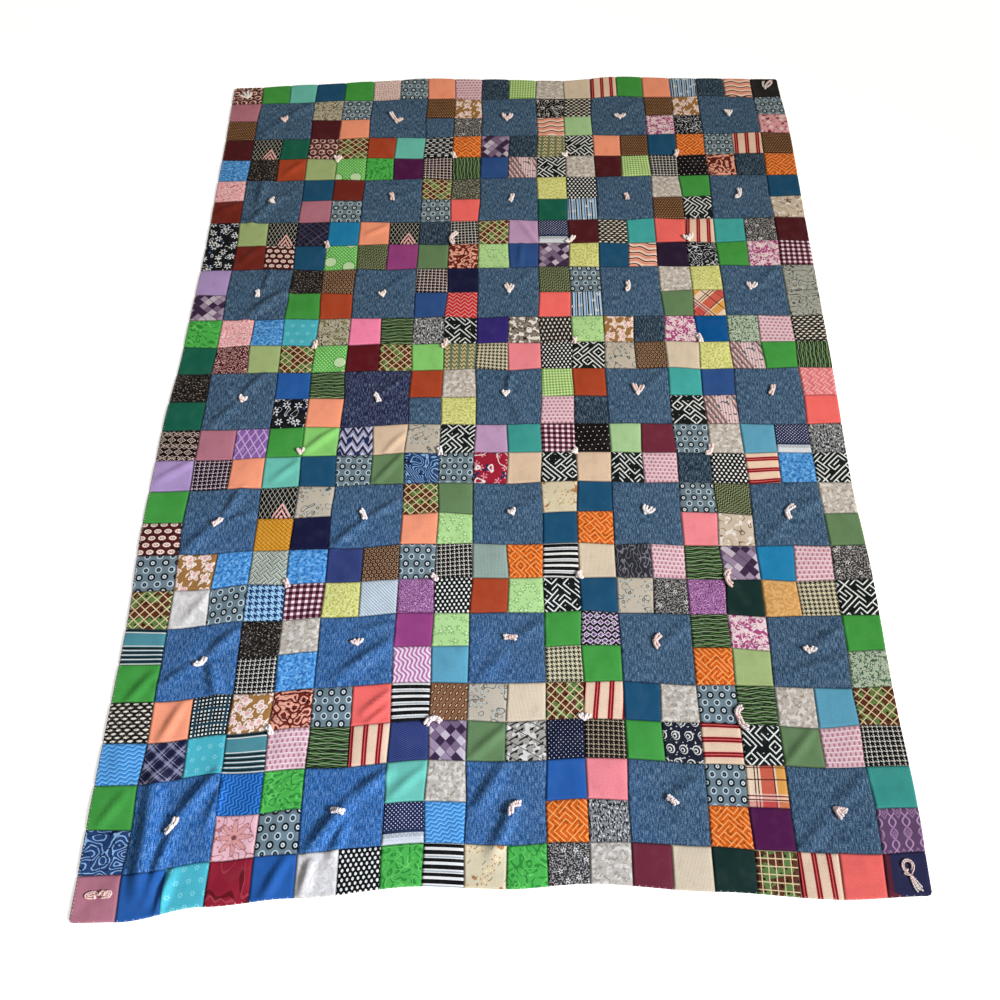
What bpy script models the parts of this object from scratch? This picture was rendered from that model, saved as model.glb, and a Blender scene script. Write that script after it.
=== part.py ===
"""A tied patchwork quilt, lying spread out on a flat surface.

The quilt is one sheet of cloth, twenty small squares wide and twenty-eight long. Its rim wanders a little
from a true rectangle and soft folds lift it here and there. Knotted ties of yarn sit on top of it: one on
each denim square, one where four small squares meet between the denim ones, and one near each corner.

Places on the quilt are counted in small squares: across from the left rim, and down from the far rim.
The origin is the middle of the underside. +X runs to the right, +Y to the far end and +Z up.
"""

import math

import bmesh
import bpy
from mathutils import Vector
from mathutils.bvhtree import BVHTree

MM = 0.001

# Driving dimensions
SQUARE = 76.2 * MM            # one small square, seam to seam: three inches
ACROSS = 20                   # small squares across the quilt
DOWN = 28                     # small squares down the quilt
THICKNESS = 4.0 * MM          # all the layers together
CLOTH_STEPS = (36, 50)        # facets across and down
PIECE_GAP = 0.3 * MM          # between the cloth and the yarn
TAIL_RADIUS = 3.4 * MM        # a tail of two strands, lying flat
TAIL_TIP_RADIUS = 2.2 * MM
KNOT_RADIUS = 4.6 * MM
TAIL_STEPS = 3                # rings along one tail
TIE_SIDES = 4                 # sides of a tie's section

# How far the rim stands out from the true rectangle: (square along that rim, mm to the right or to the far end)
LEFT_RIM = ((0, 1), (4, 5), (8, 7), (12, 1), (15, -11), (18, -13), (21, -3), (25, -4), (28, -1))
RIGHT_RIM = ((0, 4), (3, 13), (8, 10), (12, 9), (17, 3), (20, 10), (23, 8), (26, 13), (28, 9))
FAR_RIM = ((0, -4), (3, 8), (5, 17), (7, 26), (9, 19), (12, 8), (14, 22), (17, 10), (20, 2))
NEAR_RIM = ((0, -26), (1, -24), (3, 2), (5, 17), (8, 38), (10, 34), (12, 44), (15, 32), (18, 20), (20, 27))
# How far the seams inside stand off: (square across or down, mm to the right or to the far end)
SEAMS_ACROSS = ((0, 0), (1, 10), (3, 8), (5, 16), (9, 17), (13, 15), (15, 8), (19, 5), (20, 0))
SEAMS_DOWN = ((0, 0), (1, 13), (3, 20), (5, 18), (7, 22), (9, 18), (13, 14), (17, 14), (19, 18), (21, 9),
              (23, 18), (25, 14), (28, 0))
SIDE_REACH = 2.5              # squares over which a side rim's shape dies away inwards
FAR_REACH = 3.0
NEAR_REACH = 20.0             # the near rim's wave is felt much further in

# Soft folds: (across, down) at one end, (across, down) at the other, height in mm, half width in mm
FOLDS = (
    (2.75, 1.25, 1.95, 1.90, 6, 48),
    (1.30, 5.00, 1.35, 6.40, 7, 46),
    (2.55, 5.90, 1.60, 6.95, 7, 48),
    (3.05, 10.10, 1.70, 11.00, 8, 48),
    (2.10, 9.00, 2.20, 9.80, 5, 44),
    (0.20, 14.60, 1.60, 13.80, 6, 50),
    (4.95, 15.00, 3.90, 16.20, 9, 46),
    (6.30, 15.50, 5.70, 16.50, 6, 46),
    (2.95, 16.90, 1.40, 18.85, 10, 52),
    (7.05, 17.00, 4.90, 19.05, 9, 50),
    (2.30, 20.60, 2.10, 23.40, 10, 50),
    (6.80, 22.70, 4.40, 24.60, 8, 50),
    (2.80, 24.70, 1.30, 27.40, 15, 56),
    (5.95, 24.90, 5.00, 26.90, 10, 50),
    (10.95, 25.10, 9.70, 26.90, 9, 50),
    (11.00, 21.20, 9.40, 22.60, 5, 48),
    (11.00, 13.70, 10.90, 15.20, 5, 44),
    (15.00, 1.20, 14.20, 1.90, 5, 46),
    (19.60, 17.40, 18.60, 19.00, 6, 48),
    (18.80, 20.60, 17.60, 22.90, 7, 50),
    (17.60, 23.80, 16.70, 25.20, 6, 48),
)

# How a tie lies: turn of the first tail, its length in mm and its bend, then the same of the second tail
TIE_SHAPES = {
    "curl": (150, 15, -95, 25, 15, 80),
    "hook": (145, 24, -65, 30, 27, 60),
    "wide": (165, 19, -50, 15, 19, 55),
    "long": (125, 42, -12, 10, 22, 55),
    "bean": (90, 17, 25, -90, 14, -15),
    "fork": (102, 24, -8, 40, 22, 22),
    "ess": (80, 21, 25, -110, 20, -75),
    "cross": (70, 24, -30, -75, 22, 40),
}

# Ties: node, (across, down), shape, turn in degrees, size against the shape's own
BLOCK_TIES = (
    ("block_tie_1_1", 1.98, 2.04, "curl", 10, 1.0),
    ("block_tie_2_1", 5.96, 2.15, "long", 0, 1.0),
    ("block_tie_3_1", 9.93, 2.13, "hook", 0, 1.0),
    ("block_tie_4_1", 14.09, 2.14, "wide", 0, 1.0),
    ("block_tie_5_1", 18.03, 2.02, "fork", 20, 0.8),
    ("block_tie_1_2", 1.95, 6.11, "curl", -70, 1.0),
    ("block_tie_2_2", 6.04, 5.89, "bean", 8, 1.0),
    ("block_tie_3_2", 10.10, 6.06, "bean", -18, 1.0),
    ("block_tie_4_2", 14.11, 6.03, "bean", 8, 0.8),
    ("block_tie_5_2", 17.95, 5.97, "ess", 0, 1.05),
    ("block_tie_1_3", 2.02, 10.03, "bean", 5, 0.85),
    ("block_tie_2_3", 5.97, 10.07, "curl", 20, 0.85),
    ("block_tie_3_3", 10.02, 9.98, "fork", 15, 1.1),
    ("block_tie_4_3", 13.90, 9.92, "ess", 10, 0.85),
    ("block_tie_5_3", 17.92, 9.93, "hook", -12, 0.85),
    ("block_tie_1_4", 2.03, 14.00, "curl", -20, 0.9),
    ("block_tie_2_4", 6.06, 14.03, "bean", 25, 1.0),
    ("block_tie_3_4", 9.93, 13.93, "curl", 0, 0.75),
    ("block_tie_4_4", 13.98, 13.92, "fork", 10, 1.25),
    ("block_tie_5_4", 18.08, 13.86, "bean", -22, 1.1),
    ("block_tie_1_5", 1.93, 18.09, "bean", -45, 0.95),
    ("block_tie_2_5", 5.94, 18.00, "bean", 22, 1.0),
    ("block_tie_3_5", 10.14, 18.04, "curl", 30, 0.75),
    ("block_tie_4_5", 13.95, 18.00, "hook", -30, 0.8),
    ("block_tie_5_5", 18.01, 17.90, "cross", -20, 1.1),
    ("block_tie_1_6", 2.05, 22.05, "ess", -35, 0.8),
    ("block_tie_2_6", 6.04, 21.79, "wide", 10, 0.75),
    ("block_tie_3_6", 10.09, 21.72, "bean", 80, 1.05),
    ("block_tie_4_6", 13.93, 21.80, "cross", -10, 0.9),
    ("block_tie_5_6", 18.02, 21.97, "wide", -8, 0.8),
    ("block_tie_1_7", 1.98, 26.07, "bean", -38, 1.3),
    ("block_tie_2_7", 5.91, 26.05, "bean", 78, 1.1),
    ("block_tie_3_7", 10.15, 26.06, "cross", -40, 0.9),
    ("block_tie_4_7", 14.13, 25.95, "bean", 48, 0.85),
    ("block_tie_5_7", 18.12, 25.97, "fork", -110, 0.95),
)
CORNER_TIES = (
    ("corner_tie_far_left", 0.52, 0.62, "fork", 25, 1.1),
    ("corner_tie_far_right", 19.52, 0.52, "hook", -35, 0.9),
    ("corner_tie_near_left", 0.50, 27.47, "bean", 88, 1.15),
    ("corner_tie_near_right", 19.52, 27.40, "cross", 0, 1.15),
)
CROSSING_TIES = (
    ("crossing_tie_1_2", 4.04, 8.00, "bean", 15, 0.85),
    ("crossing_tie_2_2", 8.06, 7.76, "cross", -10, 1.2),
    ("crossing_tie_3_2", 12.06, 7.90, "ess", -30, 0.85),
    ("crossing_tie_4_2", 16.10, 7.92, "hook", 15, 0.8),
    ("crossing_tie_1_3", 4.00, 12.00, "bean", 40, 0.7),
    ("crossing_tie_2_3", 8.05, 12.03, "ess", 5, 0.8),
    ("crossing_tie_3_3", 12.05, 12.00, "bean", -15, 0.7),
    ("crossing_tie_4_3", 16.05, 11.90, "bean", 15, 0.9),
    ("crossing_tie_1_4", 3.97, 15.86, "curl", 0, 0.75),
    ("crossing_tie_2_4", 8.03, 15.95, "bean", 10, 0.8),
    ("crossing_tie_3_4", 12.00, 16.00, "curl", 60, 0.7),
    ("crossing_tie_4_4", 16.02, 15.93, "ess", -5, 0.9),
    ("crossing_tie_1_5", 4.04, 19.98, "bean", 25, 0.85),
    ("crossing_tie_2_5", 8.02, 20.00, "bean", 40, 0.65),
    ("crossing_tie_3_5", 11.98, 19.95, "curl", -60, 0.75),
    ("crossing_tie_4_5", 16.06, 19.97, "hook", 100, 0.8),
    ("crossing_tie_1_6", 4.05, 24.00, "bean", 30, 0.75),
    ("crossing_tie_2_6", 8.10, 23.95, "bean", -68, 1.05),
    ("crossing_tie_3_6", 12.02, 23.98, "wide", 0, 0.75),
    ("crossing_tie_4_6", 16.00, 23.85, "hook", 95, 1.0),
)


def between(table, at):
    """The value of a two-column table at a place between its rows, eased from row to row."""
    for (low, low_value), (high, high_value) in zip(table, table[1:]):
        if at <= high:
            share = min(max((at - low) / (high - low), 0.0), 1.0)
            eased = share * share * (3 - 2 * share)
            return low_value + (high_value - low_value) * eased
    return table[-1][1]


def fading(distance, reach):
    """1 at a rim and 0 from reach squares inwards."""
    return max(0.0, 1 - distance / reach) ** 2


def on_surface(across, down):
    """Where a place on the quilt lies, seen from above."""
    left, right = fading(across, SIDE_REACH), fading(ACROSS - across, SIDE_REACH)
    far, near = fading(down, FAR_REACH), max(0.0, 1 - (DOWN - down) / NEAR_REACH) ** 1.5
    aside = (between(SEAMS_ACROSS, across) * (1 - left) * (1 - right)
             + between(LEFT_RIM, down) * left + between(RIGHT_RIM, down) * right)
    along = (between(SEAMS_DOWN, down) * (1 - far) * (1 - near)
             + between(FAR_RIM, across) * far + between(NEAR_RIM, across) * near)
    return ((across - ACROSS / 2) * SQUARE + aside * MM, (DOWN / 2 - down) * SQUARE + along * MM)


def fold_height(across, down):
    """How far the folds lift the cloth at a place on the quilt."""
    lift = 0.0
    for across_1, down_1, across_2, down_2, height, half_width in FOLDS:
        run, fall = across_2 - across_1, down_2 - down_1
        share = ((across - across_1) * run + (down - down_1) * fall) / (run * run + fall * fall)
        held = min(max(share, 0.0), 1.0)
        away = math.hypot(across - across_1 - held * run, down - down_1 - held * fall) * SQUARE / MM
        if away < half_width:
            crown = math.cos(math.pi / 2 * away / half_width) ** 2
            lift = max(lift, height * crown * (0.45 + 0.55 * math.sin(math.pi * held)))
    return lift * MM


def fabric(name, colour, roughness):
    """A plain cloth or yarn finish."""
    material = bpy.data.materials.new(name)
    material.use_nodes = True
    shader = material.node_tree.nodes["Principled BSDF"]
    shader.inputs["Base Color"].default_value = (*colour, 1)
    shader.inputs["Roughness"].default_value = roughness
    shader.inputs["Metallic"].default_value = 0.0
    return material


def new_object(name, mesh_data, material):
    """A named object from finished mesh data, in its own material."""
    mesh = bpy.data.meshes.new(name)
    mesh_data.to_mesh(mesh)
    mesh_data.free()
    mesh.materials.append(material)
    made = bpy.data.objects.new(name, mesh)
    bpy.context.scene.collection.objects.link(made)
    return made


def make_quilt(material):
    """The sheet: an upper and a lower skin one thickness apart, joined around the rim."""
    steps_across, steps_down = CLOTH_STEPS
    data = bmesh.new()
    skins = []
    for lift in (0.0, THICKNESS):
        rows = []
        for step_down in range(steps_down + 1):
            down = DOWN * step_down / steps_down
            row = []
            for step_across in range(steps_across + 1):
                across = ACROSS * step_across / steps_across
                x, y = on_surface(across, down)
                row.append(data.verts.new((x, y, fold_height(across, down) + lift)))
            rows.append(row)
        skins.append(rows)
    lower, upper = skins
    for d in range(steps_down):
        for a in range(steps_across):
            data.faces.new((upper[d][a], upper[d + 1][a], upper[d + 1][a + 1], upper[d][a + 1]))
            data.faces.new((lower[d][a], lower[d][a + 1], lower[d + 1][a + 1], lower[d + 1][a]))
    rim = ([(0, a) for a in range(steps_across)] + [(d, steps_across) for d in range(steps_down)]
           + [(steps_down, a) for a in range(steps_across, 0, -1)] + [(d, 0) for d in range(steps_down, 0, -1)])
    for (d1, a1), (d2, a2) in zip(rim, rim[1:] + rim[:1]):
        data.faces.new((upper[d1][a1], upper[d2][a2], lower[d2][a2], lower[d1][a1]))
    bmesh.ops.triangulate(data, faces=data.faces[:])
    bmesh.ops.recalc_face_normals(data, faces=data.faces[:])
    return new_object("quilt", data, material)


def tail_points(start, turn, length, bend, size):
    """Points along one tail, seen from above, from the knot outwards."""
    heading = math.radians(turn)
    points, here = [], Vector(start)
    step = length * size * MM / TAIL_STEPS
    for count in range(TAIL_STEPS):
        here = here + Vector((math.cos(heading), math.sin(heading))) * step
        heading += math.radians(bend) / (TAIL_STEPS - 1)
        points.append(here)
    return points


def tie_route(across, down, shape, turn, size):
    """The line of a tie from the tip of one tail, through the knot, to the tip of the other, with its radii."""
    turn_1, length_1, bend_1, turn_2, length_2, bend_2 = TIE_SHAPES[shape]
    knot = Vector(on_surface(across, down))
    first = tail_points(knot, turn + turn_1, length_1, bend_1, size)
    second = tail_points(knot, turn + turn_2, length_2, bend_2, size)
    radii = [TAIL_RADIUS] * (TAIL_STEPS - 1) + [TAIL_TIP_RADIUS]
    return first[::-1] + [knot] + second, radii[::-1] + [KNOT_RADIUS] + radii


def make_tie(name, across, down, shape, turn, size, material, cloth):
    """A knot with two tails lying on the cloth, as one tube of flat-bottomed sections."""
    points, radii = tie_route(across, down, shape, turn, size)
    data = bmesh.new()
    rings = []
    for index, (point, radius) in enumerate(zip(points, radii)):
        before, after = points[max(index - 1, 0)], points[min(index + 1, len(points) - 1)]
        forward = (after - before).normalized()
        side = Vector((-forward.y, forward.x))
        under = max(cloth.ray_cast(Vector((*(point + side * radius * reach), 1.0)), Vector((0, 0, -1)))[0].z
                    for reach in (-1.0, 0.0, 1.0))
        ring = []
        for corner in range(TIE_SIDES):
            angle = math.pi / TIE_SIDES + 2 * math.pi * corner / TIE_SIDES
            out = side * radius * math.cos(angle) * math.sqrt(2)
            height = radius * (1 + math.sin(angle) * math.sqrt(2))
            ring.append(data.verts.new((point.x + out.x, point.y + out.y, under + PIECE_GAP + height)))
        rings.append(ring)
    for ring, next_ring in zip(rings, rings[1:]):
        for corner in range(TIE_SIDES):
            other = (corner + 1) % TIE_SIDES
            data.faces.new((ring[corner], ring[other], next_ring[other], next_ring[corner]))
    data.faces.new(rings[0][::-1])
    data.faces.new(rings[-1])
    bmesh.ops.triangulate(data, faces=data.faces[:])
    bmesh.ops.recalc_face_normals(data, faces=data.faces[:])
    return new_object(name, data, material)


def main():
    for old in list(bpy.data.objects):
        bpy.data.objects.remove(old)
    quilt = make_quilt(fabric("quilt_cloth", (0.09, 0.16, 0.25), 0.9))
    bpy.context.view_layer.update()
    cloth = BVHTree.FromObject(quilt, bpy.context.evaluated_depsgraph_get())
    yarn = fabric("tie_yarn", (0.80, 0.66, 0.60), 0.85)
    for name, across, down, shape, turn, size in BLOCK_TIES + CORNER_TIES + CROSSING_TIES:
        make_tie(name, across, down, shape, turn, size, yarn, cloth)


main()
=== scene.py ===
"""Looks of a tied patchwork quilt lying spread out: its pieced cloth, its reverse, the yarn ties, the
stitching around the rim and the plain stage that it is seen on.

Places on the quilt are counted in small squares, across from the left rim and down from the far rim.
"""
import math

import bpy
import numpy as np
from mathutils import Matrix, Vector


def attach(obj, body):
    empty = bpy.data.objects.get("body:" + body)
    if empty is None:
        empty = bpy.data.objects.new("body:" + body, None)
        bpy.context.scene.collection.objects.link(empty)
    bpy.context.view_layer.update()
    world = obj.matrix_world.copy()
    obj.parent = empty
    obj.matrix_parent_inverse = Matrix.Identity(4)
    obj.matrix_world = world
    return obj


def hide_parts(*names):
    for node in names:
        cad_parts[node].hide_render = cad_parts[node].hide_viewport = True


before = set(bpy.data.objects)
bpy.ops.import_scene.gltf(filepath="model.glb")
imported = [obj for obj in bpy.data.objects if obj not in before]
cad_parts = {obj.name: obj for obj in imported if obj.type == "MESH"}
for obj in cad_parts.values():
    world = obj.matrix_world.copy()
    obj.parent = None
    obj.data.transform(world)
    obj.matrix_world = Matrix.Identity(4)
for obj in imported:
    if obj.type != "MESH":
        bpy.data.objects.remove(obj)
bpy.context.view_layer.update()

bl_info = {
    "name": "Tied Patchwork Quilt",
    "version": (1, 0, 0),
    "blender": (4, 5, 0),
    "location": "3D View > Sidebar > Quilt",
    "description": "Pieces, ties and stitches a patchwork quilt on its plain sheet",
    "category": "Add Mesh",
}

MM = 0.001
ACROSS = 20                   # small squares across the quilt
DOWN = 28                     # small squares down the quilt
BLOCK_EVERY = 4               # squares from one denim block of two by two to the next; the first is at 1, 1

FLOOR_HALF_SIDE = 6.0
FLOOR_LEVEL = -0.6 * MM
CAMERA_LENS = 33.41           # focal length in mm
CAMERA_PLACE = (0.0478, -1.1667, 1.7987)
CAMERA_TILT = (0.4719, 0.0229, 0.0070)

# How far the rim stands out from the true rectangle: (square along that rim, mm to the right or far end)
LEFT_RIM = ((0, 1), (4, 5), (8, 7), (12, 1), (15, -11), (18, -13), (21, -3), (25, -4), (28, -1))
RIGHT_RIM = ((0, 4), (3, 13), (8, 10), (12, 9), (17, 3), (20, 10), (23, 8), (26, 13), (28, 9))
FAR_RIM = ((0, -4), (3, 8), (5, 17), (7, 26), (9, 19), (12, 8), (14, 22), (17, 10), (20, 2))
NEAR_RIM = ((0, -26), (1, -24), (3, 2), (5, 17), (8, 38), (10, 34), (12, 44), (15, 32), (18, 20), (20, 27))
# How far the seams inside stand off: (square across or down, mm to the right or to the far end)
SEAMS_ACROSS = ((0, 0), (1, 10), (3, 8), (5, 16), (9, 17), (13, 15), (15, 8), (19, 5), (20, 0))
SEAMS_DOWN = ((0, 0), (1, 13), (3, 20), (5, 18), (7, 22), (9, 18), (13, 14), (17, 14), (19, 18), (21, 9),
              (23, 18), (25, 14), (28, 0))
SIDE_REACH = 2.5              # squares over which a side rim's shape dies away inwards
FAR_REACH = 3.0
NEAR_REACH = 20.0             # the near rim's wave is felt much further in

# Soft folds: (across, down) at one end, (across, down) at the other, height in mm, half width in mm
FOLDS = (
    (2.90, 1.20, 2.10, 1.85, 7, 18), (1.90, 2.15, 1.20, 2.90, 4, 20), (1.50, 4.10, 1.75, 5.00, 6, 20),
    (2.85, 4.25, 2.30, 4.75, 4, 14), (0.95, 6.15, 0.25, 6.50, 4, 14), (1.62, 5.05, 1.55, 6.30, 8, 17),
    (2.20, 5.90, 1.40, 6.95, 8, 18), (2.90, 5.50, 2.20, 5.85, 4, 14), (6.90, 5.70, 6.15, 5.90, 4, 14),
    (5.90, 7.25, 5.25, 7.60, 4, 10), (3.90, 7.25, 3.30, 7.90, 4, 14), (1.80, 8.10, 1.20, 8.80, 3, 16),
    (10.45, 8.05, 10.35, 8.95, 4, 11), (10.40, 7.10, 10.90, 7.90, 3, 12), (2.95, 9.90, 1.70, 10.95, 8, 22),
    (2.30, 9.10, 2.20, 9.80, 5, 14), (6.80, 9.30, 6.10, 9.85, 4, 16), (10.80, 9.20, 10.20, 9.80, 3, 16),
    (2.60, 13.10, 2.05, 13.80, 6, 17), (1.15, 13.35, 1.85, 13.85, 5, 15), (1.90, 14.15, 1.30, 14.85, 5, 18),
    (6.85, 13.25, 6.15, 13.85, 4, 16), (10.10, 13.15, 9.98, 13.80, 5, 14),
    (10.05, 14.15, 10.55, 14.90, 4, 16), (4.90, 15.10, 4.15, 15.80, 6, 13),
    (3.95, 16.20, 3.35, 16.75, 4, 12), (6.95, 15.35, 6.40, 15.95, 4, 12), (6.90, 16.15, 6.20, 16.90, 5, 12),
    (0.90, 16.10, 0.20, 16.65, 4, 13), (2.45, 17.05, 2.12, 17.80, 6, 17), (1.85, 18.15, 1.10, 18.95, 6, 20),
    (2.95, 17.80, 2.25, 18.05, 4, 14), (6.95, 17.55, 6.15, 18.05, 6, 16), (6.00, 18.20, 5.15, 18.95, 7, 16),
    (10.95, 17.60, 10.20, 17.95, 3, 16), (1.95, 20.20, 1.40, 20.85, 4, 14),
    (2.95, 21.25, 2.25, 21.85, 8, 20), (2.32, 22.15, 2.62, 23.05, 7, 17), (1.85, 22.10, 1.10, 22.60, 5, 20),
    (6.95, 21.30, 5.95, 21.50, 4, 14), (6.90, 21.85, 5.60, 22.75, 7, 24), (0.85, 22.30, 0.40, 23.00, 5, 14),
    (1.75, 23.15, 1.32, 23.95, 5, 16), (6.95, 23.25, 6.30, 23.70, 5, 10), (6.95, 23.60, 6.45, 23.95, 4, 9),
    (10.00, 24.15, 9.20, 24.85, 5, 14), (0.75, 25.20, 0.30, 25.90, 4, 12),
    (1.40, 24.90, 1.45, 27.40, 12, 25), (2.88, 25.05, 2.15, 25.85, 10, 22),
    (2.05, 26.15, 1.65, 27.60, 8, 20), (3.10, 25.20, 2.78, 26.30, 5, 16), (2.20, 27.05, 1.95, 27.90, 8, 15),
    (4.75, 27.10, 4.35, 27.90, 6, 15), (5.40, 27.05, 5.20, 27.90, 7, 15), (7.05, 25.25, 6.25, 25.75, 9, 21),
    (6.15, 25.85, 5.30, 26.95, 11, 23), (6.15, 26.20, 5.85, 27.15, 6, 18), (7.90, 25.25, 7.20, 25.80, 4, 14),
    (9.95, 25.15, 9.25, 26.15, 7, 21), (10.20, 26.10, 9.65, 27.20, 8, 21),
    (10.95, 21.30, 10.20, 21.80, 5, 18), (9.90, 22.20, 9.30, 22.90, 4, 20),
    (14.85, 1.25, 14.20, 1.85, 4, 16), (18.80, 9.20, 18.20, 9.80, 4, 16),
    (14.80, 13.30, 14.20, 13.80, 4, 16), (18.95, 17.55, 18.20, 17.95, 5, 18),
    (17.90, 18.20, 17.30, 18.90, 4, 18), (14.90, 21.35, 14.20, 21.85, 4, 18),
    (18.90, 21.40, 18.15, 21.85, 6, 18), (18.90, 22.20, 17.40, 22.60, 5, 14),
    (17.80, 24.10, 17.15, 24.85, 5, 13), (14.80, 25.40, 14.20, 25.85, 4, 18),
    (18.90, 25.30, 18.20, 25.80, 5, 18), (17.90, 26.20, 17.20, 26.90, 4, 18),
)

FOLD_END = 0.45               # height of a fold's ends against its middle
PUFF_REACH = 10.0             # mm from a seam over which a square rises to its full puff
GROOVE_REACH = 1.7            # mm from a seam that its drawn-in line is wide
ALLOWANCE = (4.0, 2.6, 0.55)  # mm from a seam to its allowance under the cloth, half its width, its lift
TIE_REACH = 9.0               # mm round a tie where the cloth is drawn down
SPOKE_REACH = 24.0            # mm round a tie that its small creases reach
SPOKES = 5
RIM_ROUND = 4.5               # mm in from the rim over which the turned edge rises
CALM_RIM = 30.0               # mm in from the rim over which the cloth lies calmer
FLOOR_GAP = 0.7               # mm that the upper face keeps over what the quilt lies on
REVERSE_STEPS = 8             # faces of the reverse along the side of a square
REVERSE_LIFT = 0.25           # mm from what the quilt lies on to its reverse
RIM_GAP = 0.05                # mm that the reverse's rim stays below the patchwork's

# How a tie lies: turn of the first tail, its length in mm and its bend, then the same of the second tail
TIE_SHAPES = {
    "curl": (150, 15, -95, 25, 15, 80),
    "hook": (145, 24, -65, 30, 27, 60),
    "wide": (165, 19, -50, 15, 19, 55),
    "long": (125, 42, -12, 10, 22, 55),
    "bean": (90, 17, 25, -90, 14, -15),
    "fork": (102, 24, -8, 40, 22, 22),
    "ess": (80, 21, 25, -110, 20, -75),
    "cross": (70, 24, -30, -75, 22, 40),
    "cee": (108, 27, -100, -88, 25, 60),
}

TAIL_SHOWN = 0.9              # how much of a tail's length lies clear of its knot
TAIL_STEPS = 24               # steps along a tail
CORNER_POINTS = 30            # points along a strand of a corner tie
CORNER_YARN = 0.5             # how thick the corner ties' yarn is against the other ties'
PLIES = 2
PLY_RADIUS = 0.32             # how thick a ply is against the yarn
PLY_OFFSET = 0.19             # how far a ply's middle lies from its strand's, against the yarn
KNOT_PLY_OFFSET = 0.17
PLY_TWIST = 10.0              # mm of yarn for one turn of its plies
KNOT_TWIST = 8.0
KNOT_POINTS = 17              # points along a loop of a knot
# The loops of a knot: turn against the tails in degrees, then reach and lift against the yarn
KNOT_WRAPS = ((78, 0.62, 0.42), (12, 0.52, 0.64))

LEFT_STITCH = (2.6, 5.2)      # mm: shortest and longest reach inwards of a stitch on the left rim
OTHER_STITCH = (1.2, 3.0)
STITCH_SLANT = (0.6, 3.2)
THREAD_RADIUS = 0.42          # mm: thread of the stitches, drawn thicker than it is so that it shows
LOOSE_RADIUS = 0.3            # mm: the loose ends of thread
LOOSE_POINTS = 14             # points along a loose end

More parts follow.
